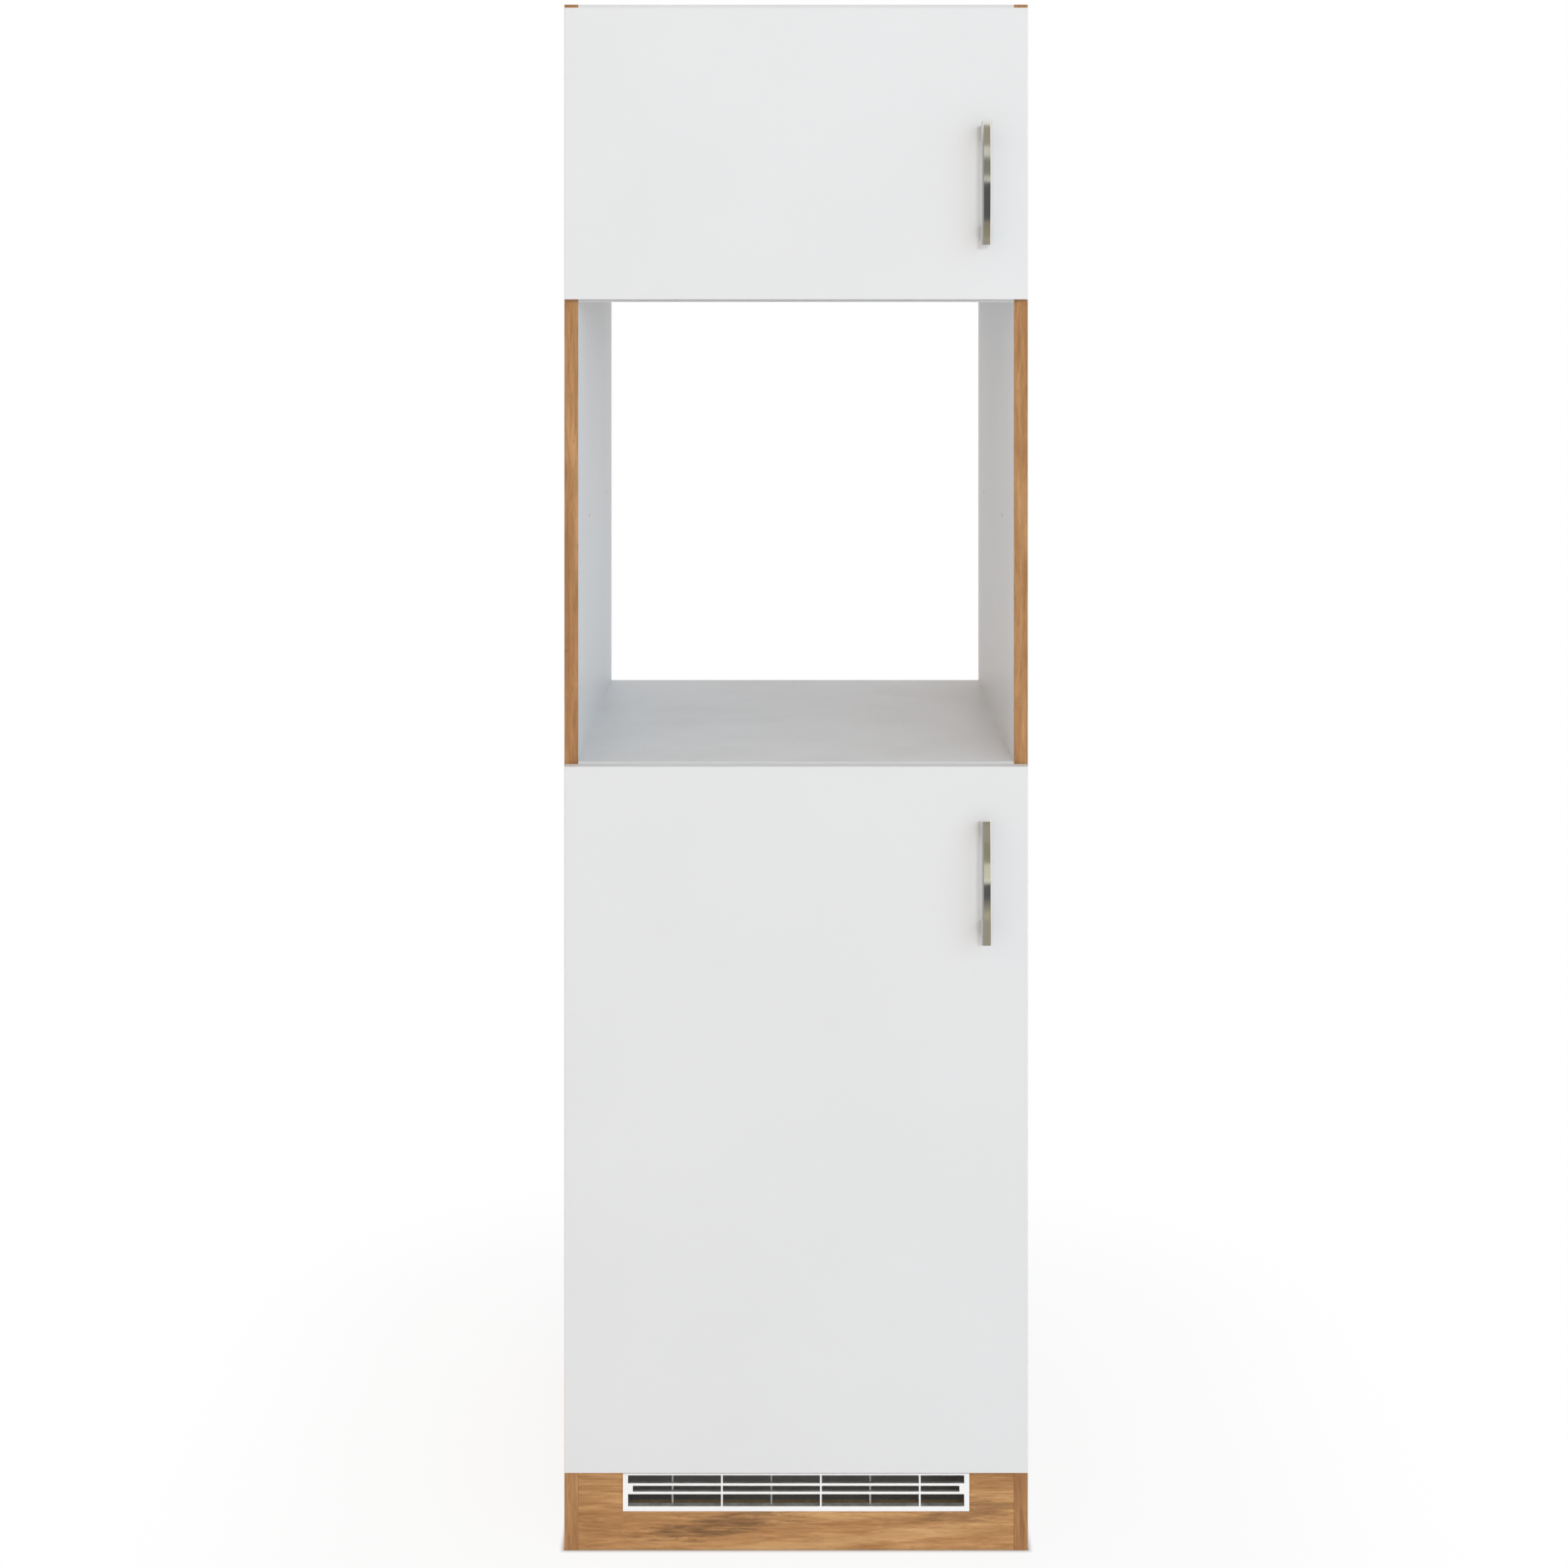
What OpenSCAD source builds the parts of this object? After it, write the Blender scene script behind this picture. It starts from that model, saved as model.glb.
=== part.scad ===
// Tall kitchen cabinet for a built-in fridge and an oven.
// Millimetres. +Z is up, the doors face -Y, and the origin is on the floor in the middle.
// Inside each module y = 0 is the front plane of the side panels, and place() moves it home.

/* [Carcass] */
// Width over the two side panels
cabinet_w = 600; // [500:1:650]
// Height of the side panels
cabinet_h = 2000; // [1960:1:2150]
// Depth of a side panel with its front edge band
cabinet_d = 560; // [540:1:600]
// Thickness of the carcass boards
board_t = 18; // [16:0.5:19]
// Thickness of the edge band on a side panel
side_band_t = 2; // [1.5:0.1:3]
// Rounding of the two long front edges of that band
side_band_r = 1; // [0.3:0.1:1.2]
// Thickness of the edge band on the white panels
panel_band_t = 1; // [0.4:0.1:1.5]
// Height of the plinth
plinth_h = 100; // [80:1:120]
// Clear height of the fridge compartment
fridge_h = 884; // [860:1:890]
// Clear height of the oven niche
niche_h = 595; // [580:1:600]
// Space left open behind the bottom panel for warm air
air_gap = 50; // [40:1:60]
// Height of the rear rail under the niche floor
rail_h = 100; // [80:1:120]

/* [Back panel] */
// Thickness of the back panel
back_t = 3; // [2.5:0.1:4]
// Distance from the back panel's groove to the rear edges
back_inset = 17; // [15:1:20]
// Depth that the back panel reaches into its grooves
back_in = 7; // [5:0.5:7.5]
// Play of the back panel in its grooves, on each side
groove_play = 0.15; // [0.1:0.05:0.3]

/* [Plinth and grille] */
// Thickness of the plinth board
plinth_t = 16; // [15:1:19]
// Distance that the plinth lies behind the side panels' front
plinth_inset = 1; // [0.5:0.5:3]
// Width of the grille's face
grille_w = 448; // [400:1:460]
// Height of the grille's lower edge above the floor
grille_z = 51; // [40:1:52]
// Width of the frame round the grille's openings
grille_frame = 6.5; // [5:0.5:8]
// Thickness of the grille's face
grille_face_t = 2.5; // [2:0.5:3]
// Wall of the collar that reaches through the plinth
collar_wall = 1.2; // [1:0.1:1.6]
// Length of that collar behind the plinth's front
collar_d = 6; // [5.5:0.5:8]
// Thickness of a louvre blade at its front edge
blade_t = 3.2; // [2.5:0.1:3.6]
// Depth of a louvre blade from front to back
blade_d = 5.5; // [5:0.5:6.5]
// Drop of a blade's top towards its back edge
blade_drop = 0.6; // [0:0.1:1]
// Number of louvre blades
blade_count = 2; // [1:1:2]
// Distance from blade to blade
blade_pitch = 10.8; // [9:0.1:11]
// Height of the lowest blade above the grille's lower edge
blade_first = 21.9; // [18:0.1:23]
// Distance from rib to rib
rib_pitch = 64; // [50:1:66]
// Number of ribs, alternately in front and behind
rib_count = 6; // [2:2:6]
// Thickness of a front rib
rib_t = 2.2; // [1.6:0.1:3]
// Width of the two end stops between the blades
stop_w = 6; // [4:0.5:8]
// Play of the collar in the plinth's notch
notch_play = 0.2; // [0.1:0.05:0.4]

/* [Doors] */
// Thickness of a door
door_t = 16; // [16:0.5:19]
// Distance from a closed door's back to the side panels' front
door_gap = 3; // [3:0.1:4]
// Distance from a door's edge to the cabinet's outer side
door_side_gap = 2; // [1.5:0.1:2.5]
// Rounding of a door's vertical edges
door_r = 1; // [0.5:0.1:2]
// Height of the lower door above the plinth
lower_door_rise = 10; // [6:1:14]
// Distance of the lower door's top below the niche floor's surface
floor_reveal = 2; // [1:0.5:6]
// Distance of the upper door's bottom above the niche ceiling
ceiling_reveal = 4; // [1:0.5:6]
// Distance of the upper door's top below the cabinet's top
top_reveal = 6; // [2:0.5:8]

/* [Handles] */
// Length of a handle
handle_len = 158; // [150:1:180]
// Distance between a handle's two screws
handle_holes = 128; // [116:1:132]
// Width of a handle
handle_w = 14; // [11:0.5:16]
// Thickness of a handle's bar
bar_t = 6; // [5:0.5:8]
// Bevel along both edges of the bar
bar_bevel = 2.5; // [1:0.5:2.5]
// Rise of the bar's bow at its middle
bow_rise = 5; // [3:0.5:7]
// Distance from a door's face to the front of the bow
handle_out = 32; // [28:0.5:36]
// Height of a handle's leg along the bar
leg_h = 18; // [13:0.5:20]
// Distance from a door's free edge to the middle of its handle
handle_in = 55; // [40:1:80]
// Distance from the upper door's bottom to its handle
upper_handle_up = 70; // [50:1:90]
// Distance from the lower door's top down to its handle
lower_handle_down = 64; // [50:1:90]
// Diameter of a handle screw
handle_screw_d = 4; // [3.5:0.1:5]
// Length of a handle screw in the handle's leg
handle_screw_in = 9; // [6:0.5:12]

/* [Hinges] */
// Diameter of a hinge cup's bore in the door
cup_d = 35; // [35:0.5:36]
// Distance from the door's edge to that bore
cup_edge = 3; // [2.6:0.1:3.2]
// Depth of the cup in the door
cup_deep = 11.5; // [11.5:0.1:12]
// Sheet thickness of the cup
cup_wall = 1; // [0.8:0.05:1]
// Distance between the two screws of a cup
cup_screw_span = 45; // [44:0.5:48]
// Distance of those screws behind the cup's middle
cup_screw_in = 9.5; // [8:0.5:10]
// Diameter of the hinge pin
pin_d = 2.2; // [2:0.05:2.3]
// Distance from the door's edge to the pin
pin_in = 7; // [6.9:0.05:7.2]
// Distance from the door's back to the pin
pin_deep = 8.3; // [8.2:0.05:8.4]
// Outer diameter of the arm's knuckle round the pin
knuckle_d = 4.2; // [4:0.05:4.2]
// Radial play between the pin and the knuckle
pin_play = 0.05; // [0.03:0.01:0.08]
// Width of the arm's neck and of its knuckle
neck_w = 9; // [8:0.5:9]
// Sheet thickness of the arm
arm_t = 2; // [1.6:0.1:2]
// Distance from the arm's neck to the side panel
arm_side_gap = 2; // [1.5:0.1:2.5]
// Height of the arm over the side panel
arm_high = 10; // [9:0.5:12]
// Length of the arm behind the side panel's front
arm_len = 62; // [60:1:70]
// Width of the arm's channel
arm_w = 16; // [15:0.5:18]
// Thickness of a mounting plate's wings
plate_t = 2; // [1.5:0.1:2.2]
// Distance between the two screws of a mounting plate
plate_screw_span = 32; // [30:1:36]
// Distance from the side panel's front to those screws
plate_screw_in = 37; // [35:1:40]
// Distance from an upper door's end to its nearest hinge
upper_hinge_end = 60; // [50:1:90]
// Distance from a lower door's end to its nearest hinge
lower_hinge_end = 100; // [80:1:150]
// Number of hinges on the lower door
lower_hinges = 3; // [2:1:4]

/* [Joints of the boards] */
// Diameter of a cam lock
cam_d = 15; // [14:0.5:15]
// Distance from a panel's end to the middle of its cam lock
cam_in = 34; // [30:0.5:36]
// Depth of a cam lock past the middle of its board
cam_past = 4; // [3.9:0.1:4.5]
// Diameter of a dowel
dowel_d = 8; // [6:0.5:8]
// Length of a dowel
dowel_len = 30; // [26:1:35]
// Distance from the front to the first cam lock
cam_front = 60; // [50:1:80]
// Distance from the first cam lock to the second
cam_span = 380; // [360:1:390]
// Distance from a cam lock to its dowel
dowel_step = 40; // [30:1:60]
// Radial play of cam locks, bolts, dowels and screws in their holes
fit_play = 0.05; // [0.03:0.01:0.1]

/* [Fixings] */
// Diameter of the appliance holes in the niche walls
niche_hole_d = 5; // [4.5:0.1:6]
// Depth of those holes
niche_hole_deep = 12; // [8:0.5:12]
// Height of those holes above the niche floor
niche_hole_up = 300; // [250:1:350]
// Distance from the front to the first of those holes
niche_hole_front = 166; // [150:1:180]
// Distance between the two holes of a wall
niche_hole_span = 292; // [280:1:300]
// Distance between the two wall brackets
bracket_span = 400; // [300:1:420]
// Length of a wall bracket's legs
bracket_leg = 40; // [36:1:45]
// Sheet thickness of a wall bracket
bracket_t = 2; // [1.5:0.1:2.5]
// Width of a wall bracket
bracket_w = 20; // [18:1:26]
// Diameter of a wall bracket's hole for the wall screw
wall_hole_d = 6; // [5:0.5:7]
// Diameter of a door bumper
bumper_d = 8; // [6:0.5:10]

/* [Hidden] */

OAK = [0.70, 0.54, 0.36];
WHITE = [0.91, 0.91, 0.90];
DOOR_WHITE = [0.90, 0.90, 0.90];
HARDBOARD = [0.86, 0.86, 0.85];
PLASTIC = [0.96, 0.96, 0.96];
STEEL = [0.66, 0.66, 0.64];
ZINC = [0.55, 0.56, 0.57];
BEECH = [0.83, 0.69, 0.48];

half_w = cabinet_w / 2;
inner_x = half_w - board_t;
bottom_top_z = plinth_h + board_t;
niche_floor_z = bottom_top_z + fridge_h + board_t;
ceiling_z = niche_floor_z + niche_h;
upper_floor_z = ceiling_z + board_t;
top_under_z = cabinet_h - board_t;

lower_door_z = plinth_h + lower_door_rise;
lower_door_top = niche_floor_z - floor_reveal;
upper_door_z = ceiling_z + ceiling_reveal;
upper_door_top = cabinet_h - top_reveal;
door_back_y = -door_gap;
door_front_y = door_back_y - door_t;
door_x = half_w - door_side_gap;

handle_front_y = door_front_y - handle_out;
front_y = -(cabinet_d + handle_front_y) / 2;
handle_x = door_x - handle_in;
// A handle keeps its distance from the niche, but never passes the middle of its door
upper_handle_z = min(upper_door_z + upper_handle_up + handle_len / 2,
                     (upper_door_z + upper_door_top) / 2);
lower_handle_z = max(lower_door_top - lower_handle_down - handle_len / 2,
                     (lower_door_z + lower_door_top) / 2);

upper_hinge_z = [upper_door_z + upper_hinge_end, upper_door_top - upper_hinge_end];
lower_hinge_step = (lower_door_top - lower_door_z - 2 * lower_hinge_end) / (lower_hinges - 1);
lower_hinge_z = [
    for (i = [0 : lower_hinges - 1]) lower_door_z + lower_hinge_end + i * lower_hinge_step
];
all_hinge_z = concat(upper_hinge_z, lower_hinge_z);
cup_x = -door_x + cup_edge + cup_d / 2;
pin_x = -door_x + pin_in;
pin_y = door_back_y - pin_deep;
cup_r = cup_d / 2 - fit_play;
cup_rest = 0.3;
cup_rim_t = 1;
cup_rim_r = cup_r + 1;
cup_ear_r = 6;
cup_screw_r = 1.5;
cup_screw_len = 10;
cup_head_r = 3.2;
cup_head_t = 1.1;
// Half the length of a pin, whose ends stay inside the round of the cup
pin_end_rest = 0.1;
pin_half = sqrt(pow(cup_r, 2) - pow(cup_x - pin_x + pin_d / 2, 2)) - pin_end_rest;
pin_seat_play = 0.01;
boss_r = 2.2;
boss_side_play = 0.4;

side_face_x = -inner_x;
arm_ramp_y = 2;
arm_ramp_end = 11;
arm_ramp_lap = 1;
arm_screw_ys = [32, 50];
arm_screw_stop = 1;
arm_screw_r = 2.2;
arm_head_r = 4;
arm_head_t = 2;
plate_front = 20;
plate_back = 58;
plate_wing_past = 8;
plate_wing = plate_screw_span + 2 * plate_wing_past;
plate_wing_w = 15;
arm_flange_t = 1.5;
plate_screw_r = 2.5 - fit_play;
plate_screw_len = 11;
plate_head_r = 4.2;
plate_head_t = 1.5;
hinge_seat_play = 0.2;
// Extra length of a cut past the surface it opens, and of a hole past what it holds
past = 1;
// Radial play of a screw in a sheet or plate that it only clamps
clamp_play = 0.3;
// Length that a screw's hole is deeper than the screw
screw_rest = 1;

cam_ys = [cam_front, cam_front + cam_span];
dowel_ys = [cam_front + dowel_step, cam_front + cam_span - dowel_step];
// Each row: height of the panel's underside, the side its cam locks are let in from, its depth
PANELS = [
    [plinth_h, -1, cabinet_d - air_gap],
    [niche_floor_z - board_t, -1, cabinet_d],
    [ceiling_z, 1, cabinet_d],
    [top_under_z, 1, cabinet_d]
];
rail_top = niche_floor_z - board_t;
rail_mid = rail_top - rail_h / 2;
rail_dowel_step = 30;
rail_dowels = [rail_mid - rail_dowel_step, rail_mid + rail_dowel_step];
rail_y = cabinet_d - board_t / 2;
cam_sunk = 0.2;
bolt_in = 11;
bolt_r = 2.5 - fit_play;
shank_r = 3;
shank_len = 24;
neck_r = 2;
bolt_head_r = 3.5;
bolt_head_back = 6;
bolt_head_x = cam_in - bolt_head_back;
bolt_play = 0.3;
bolt_head_t = 3;
bolt_bore_r = 4;
dowel_in = dowel_len * 0.4;

back_y = cabinet_d - back_inset - back_t - groove_play;
groove_d = back_in + past;
groove_y = back_y - groove_play;
groove_w = back_t + 2 * groove_play;

grille_lip = grille_frame - notch_play - collar_wall;
notch_x = grille_w / 2 - grille_lip;
notch_z = grille_z + grille_lip;
grille_top_bar = 2.5;
opening_top = plinth_h - grille_top_bar;
weld = 0.1;
rib_front_d = 3.5;
rib_behind_d = 3;
blade_set_back = 0.5;
blade_taper = 1;
stop_z = grille_z + blade_first + (blade_pitch + blade_t) / 2;
bracket_screw_r = 1.75;
bracket_screw_len = 12;
corner_leg = 30;
corner_t = 2;
corner_h = 20;
corner_z = 25;
wall_bracket_y = back_y;
wall_hole_play = 1;
wall_hole_z = top_under_z - bracket_leg * 0.62;
bracket_screw_in = bracket_leg * 0.6;
corner_screw_in = corner_leg * 0.65;
// The cross in a screw's head, as shares of the head's radius
cross_len = 1.2;
cross_w = 0.25;
small_head_r = 3.4;
small_head_t = 2;
bumper_play = 0.2;
bumper_end = 22;
handle_head_r = 4;
handle_head_t = 2.4;
handle_hole_play = 0.5;
// Share of the bow's rise by which the legs end behind the bar's front
leg_sunk = 0.6;
// Depth of the bar's bevel as a share of its width
bevel_slope = 0.7;

// Frame helpers

module place() {
    translate([0, front_y, 0]) children();
}

// Turns a cylinder that stands on z = 0 so that it runs along +X
module along_x() {
    rotate([0, 90, 0]) children();
}

// Turns it so that it runs along +Y
module along_y() {
    rotate([-90, 0, 0]) children();
}

// A point on a side panel's inner face; +X then runs inwards from it
module at_side(side, y, z) {
    translate([side * inner_x, y, z]) rotate([0, 0, side > 0 ? 180 : 0]) children();
}

// Box given by its two corners
module block(low, high) {
    translate(low) cube(high - low);
}

// Board joints: cam locks, their bolts and dowels

module cam_lock() {
    cam_low = -cam_past + fit_play;
    cam_top = board_t / 2 - cam_sunk;
    slot_len = cam_d * 0.6;
    slot_w = 1.4;
    slot_d = 2;
    difference() {
        translate([cam_in, 0, cam_low]) cylinder(d = cam_d - 2 * fit_play, h = cam_top - cam_low, $fn = 48);
        translate([cam_in - cam_d, 0, 0]) along_x() cylinder(r = neck_r + bolt_play, h = cam_d, $fn = 24);
        translate([bolt_head_x - bolt_play, 0, 0])
            along_x() cylinder(r = bolt_head_r + bolt_play, h = bolt_head_t + 2 * bolt_play, $fn = 24);
        for (turn = [0, 90]) {
            translate([cam_in, 0, cam_top]) rotate([0, 0, turn])
                cube([slot_len, slot_w, 2 * slot_d], center = true);
        }
    }
}

module cam_cut() {
    translate([cam_in, 0, -cam_past]) cylinder(d = cam_d, h = board_t, $fn = 48);
    translate([-past, 0, 0]) along_x() cylinder(r = bolt_bore_r, h = cam_in, $fn = 24);
}

module cam_bolt() {
    translate([-bolt_in, 0, 0]) along_x() cylinder(r = bolt_r, h = bolt_in, $fn = 24);
    along_x() cylinder(r = shank_r, h = shank_len, $fn = 24);
    along_x() cylinder(r = neck_r, h = bolt_head_x + bolt_head_t, $fn = 24);
    translate([bolt_head_x, 0, 0]) along_x() cylinder(r = bolt_head_r, h = bolt_head_t, $fn = 24);
}

module bolt_hole() {
    translate([-bolt_in - past, 0, 0])
        along_x() cylinder(r = bolt_r + fit_play, h = bolt_in + 2 * past, $fn = 24);
}

module dowel() {
    translate([-dowel_in, 0, 0]) along_x() cylinder(d = dowel_d - 2 * fit_play, h = dowel_len, $fn = 32);
}

module dowel_cut() {
    translate([-dowel_in - past, 0, 0])
        along_x() cylinder(d = dowel_d, h = dowel_len + 2 * past, $fn = 32);
}

// Runs its children at every cam lock; a panel's own, or those of the rear rail
module at_panel_cams(panel) {
    for (side = [-1, 1]) {
        for (y = cam_ys) {
            at_side(side, y, panel[0] + board_t / 2) rotate([panel[1] > 0 ? 0 : 180, 0, 0]) children();
        }
    }
}

module at_panel_dowels(panel) {
    for (side = [-1, 1]) {
        for (y = dowel_ys) {
            at_side(side, y, panel[0] + board_t / 2) children();
        }
    }
}

module at_rail_cams() {
    for (side = [-1, 1]) {
        at_side(side, rail_y, rail_mid) rotate([side > 0 ? 90 : -90, 0, 0]) children();
    }
}

module at_rail_dowels() {
    for (side = [-1, 1]) {
        for (z = rail_dowels) {
            at_side(side, rail_y, z) children();
        }
    }
}

module at_all_cams() {
    for (panel = PANELS) {
        at_panel_cams(panel) children();
    }
    at_rail_cams() children();
}

module at_all_dowels() {
    for (panel = PANELS) {
        at_panel_dowels(panel) children();
    }
    at_rail_dowels() children();
}

// Side panels

module niche_hole(side, y) {
    at_side(side, y, niche_floor_z + niche_hole_up) translate([-niche_hole_deep, 0, 0])
        along_x() cylinder(d = niche_hole_d, h = niche_hole_deep + past, $fn = 32);
}

module plate_screw_holes() {
    for (z = all_hinge_z) {
        for (end = [-1, 1]) {
            translate([side_face_x - plate_screw_len, plate_screw_in, z + end * plate_screw_span / 2])
                along_x() cylinder(r = plate_screw_r + fit_play, h = plate_screw_len + past, $fn = 24);
        }
    }
}

module side_board(side) {
    outer = side * half_w;
    inner = side * inner_x;
    groove_low = side > 0 ? inner_x - past : -inner_x - groove_d;
    difference() {
        block([min(outer, inner), side_band_t, 0], [max(outer, inner), cabinet_d, cabinet_h]);
        for (panel = PANELS) {
            for (y = cam_ys) {
                at_side(side, y, panel[0] + board_t / 2) bolt_hole();
            }
            for (y = dowel_ys) {
                at_side(side, y, panel[0] + board_t / 2) dowel_cut();
            }
        }
        at_side(side, rail_y, rail_mid) bolt_hole();
        for (z = rail_dowels) {
            at_side(side, rail_y, z) dowel_cut();
        }
        niche_hole(side, niche_hole_front);
        niche_hole(side, niche_hole_front + niche_hole_span);
        block([groove_low, groove_y, upper_floor_z - groove_d],
              [groove_low + groove_d + past, groove_y + groove_w, top_under_z + groove_d]);
        at_plinth_corners() translate([-bracket_screw_len, corner_screw_in, 0]) along_x() pilot_hole();
    }
}

module side_panel_left() {
    color(OAK) place() difference() {
        side_board(-1);
        plate_screw_holes();
    }
}

module side_panel_right() {
    color(OAK) place() side_board(1);
}

module side_band(side) {
    middle = side * (half_w + inner_x) / 2;
    color(OAK) place() translate([middle, 0, 0]) linear_extrude(cabinet_h) union() {
        translate([-board_t / 2, side_band_r]) square([board_t, side_band_t - side_band_r]);
        translate([-board_t / 2 + side_band_r, 0]) square([board_t - 2 * side_band_r, side_band_t]);
        for (end = [-1, 1]) {
            translate([end * (board_t / 2 - side_band_r), side_band_r]) circle(r = side_band_r, $fn = 32);
        }
    }
}

module side_band_left() {
    side_band(-1);
}

module side_band_right() {
    side_band(1);
}

// White panels

module panel_board(panel) {
    difference() {
        block([-inner_x, panel_band_t, panel[0]], [inner_x, panel[2], panel[0] + board_t]);
        at_panel_cams(panel) cam_cut();
        at_panel_dowels(panel) dowel_cut();
    }
}

module top_panel() {
    color(WHITE) place() difference() {
        panel_board(PANELS[3]);
        block([-half_w, groove_y, top_under_z - past],
              [half_w, groove_y + groove_w, top_under_z + groove_d]);
        at_wall_brackets() translate([0, -bracket_screw_in, -past]) pilot_hole();
    }
}

module niche_ceiling() {
    color(WHITE) place() difference() {
        panel_board(PANELS[2]);
        block([-half_w, groove_y, upper_floor_z - groove_d],
              [half_w, groove_y + groove_w, upper_floor_z + past]);
    }
}

module niche_floor() {
    color(WHITE) place() panel_board(PANELS[1]);
}

module bottom_panel() {
    color(WHITE) place() panel_board(PANELS[0]);
}

module panel_bands() {
    color(WHITE) place() {
        for (panel = PANELS) {
            block([-inner_x, 0, panel[0]], [inner_x, panel_band_t, panel[0] + board_t]);
        }
    }
}

module back_panel() {
    color(HARDBOARD) place() difference() {
        block([-inner_x - back_in, back_y, upper_floor_z - back_in],
              [inner_x + back_in, back_y + back_t, top_under_z + back_in]);
        for (side = [-1, 1]) {
            translate([side * bracket_span / 2, back_y - past, wall_hole_z])
                along_y() cylinder(d = wall_hole_d + wall_hole_play, h = back_t + 2 * past, $fn = 32);
        }
    }
}

module rear_rail() {
    color(WHITE) place() difference() {
        block([-inner_x, cabinet_d - board_t, rail_top - rail_h], [inner_x, cabinet_d, rail_top]);
        at_rail_cams() cam_cut();
        at_rail_dowels() dowel_cut();
    }
}

// Plinth, its corner brackets and the ventilation grille

module plinth_board() {
    back = plinth_inset + plinth_t;
    color(OAK) place() difference() {
        block([-inner_x, plinth_inset, 0], [inner_x, back, plinth_h]);
        block([-notch_x, plinth_inset - past, notch_z], [notch_x, back + past, plinth_h + past]);
        at_plinth_corners() translate([corner_screw_in, -bracket_screw_len, 0]) along_y() pilot_hole();
    }
}

// The inner corner behind each end of the plinth; +X runs inwards and +Y backwards
module at_plinth_corners() {
    for (side = [-1, 1]) {
        translate([side * inner_x, plinth_inset + plinth_t, corner_z])
            mirror([side > 0 ? 1 : 0, 0, 0]) children();
    }
}

module vent_grille() {
    face_y = plinth_inset - grille_face_t;
    collar_x = notch_x - notch_play;
    open_x = collar_x - collar_wall;
    open_low = notch_z + notch_play + collar_wall;
    color(PLASTIC) place() {
        difference() {
            block([-grille_w / 2, face_y, grille_z], [grille_w / 2, plinth_inset, plinth_h]);
            block([-open_x, face_y - past, open_low], [open_x, plinth_inset + past, opening_top]);
        }
        difference() {
            block([-collar_x, face_y, notch_z + notch_play],
                  [collar_x, plinth_inset + collar_d, opening_top + collar_wall]);
            block([-open_x, face_y - past, open_low], [open_x, plinth_inset + collar_d + past, opening_top]);
        }
        for (i = [0 : blade_count - 1]) {
            translate([-open_x - weld, 0, grille_z + blade_first + i * blade_pitch])
                grille_blade(2 * (open_x + weld));
        }
        for (i = [0 : rib_count - 1]) {
            grille_rib((i - (rib_count - 1) / 2) * rib_pitch, i % 2 == 0, open_low);
        }
        for (side = [-1, 1]) {
            translate([side * (open_x - stop_w / 2), face_y + rib_front_d / 2 + blade_set_back, stop_z])
                cube([stop_w + 2 * weld, rib_front_d, blade_pitch - blade_t + 4 * weld], center = true);
        }
    }
}

// One louvre blade along +X
module grille_blade(length) {
    front = plinth_inset - grille_face_t + blade_set_back;
    rotate([90, 0, 90]) linear_extrude(length) polygon([
        [front, 0],
        [front + blade_d, blade_taper - blade_drop],
        [front + blade_d, blade_t - blade_drop],
        [front, blade_t]
    ]);
}

module grille_rib(x, behind, low) {
    front = behind ? plinth_inset - grille_face_t + blade_d : plinth_inset - grille_face_t;
    depth = behind ? rib_behind_d : rib_front_d;
    block([x - rib_t / 2, front, low - weld], [x + rib_t / 2, front + depth, opening_top + weld]);
}

module plinth_brackets() {
    color(PLASTIC) place() at_plinth_corners() difference() {
        union() {
            block([0, 0, -corner_h / 2], [corner_leg, corner_t, corner_h / 2]);
            block([0, 0, -corner_h / 2], [corner_t, corner_leg, corner_h / 2]);
        }
        translate([corner_screw_in, -past, 0])
            along_y() cylinder(r = bracket_screw_r + clamp_play, h = corner_t + 2 * past, $fn = 24);
        translate([-past, corner_screw_in, 0])
            along_x() cylinder(r = bracket_screw_r + clamp_play, h = corner_t + 2 * past, $fn = 24);
    }
}

// The hole of a bracket's screw, from its blind end at z = 0 to past the surface
module pilot_hole() {
    cylinder(r = bracket_screw_r + fit_play, h = bracket_screw_len + past, $fn = 24);
}

// A small screw whose head stands on z = 0 and whose shank runs down
module small_screw(shank_r, shank_len, head_r, head_t) {
    translate([0, 0, -shank_len]) cylinder(r = shank_r, h = shank_len + head_t / 4, $fn = 24);
    difference() {
        cylinder(r = head_r, h = head_t, $fn = 32);
        for (turn = [0, 90]) {
            translate([0, 0, head_t]) rotate([0, 0, turn])
                cube([head_r * cross_len, head_r * cross_w, head_t], center = true);
        }
    }
}

module plinth_bracket_screws() {
    length = bracket_screw_len + corner_t - screw_rest;
    color(STEEL) place() at_plinth_corners() {
        translate([corner_screw_in, corner_t, 0])
            along_y() small_screw(bracket_screw_r, length, small_head_r, small_head_t);
        translate([corner_t, corner_screw_in, 0])
            along_x() small_screw(bracket_screw_r, length, small_head_r, small_head_t);
    }
}

module cam_locks() {
    color(ZINC) place() at_all_cams() cam_lock();
}

module cam_bolts() {
    color(STEEL) place() at_all_cams() cam_bolt();
}

module dowels() {
    color(BEECH) place() at_all_dowels() dowel();
}

// Wall brackets under the top panel

module at_wall_brackets() {
    for (side = [-1, 1]) {
        translate([side * bracket_span / 2, wall_bracket_y, top_under_z]) children();
    }
}

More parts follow.
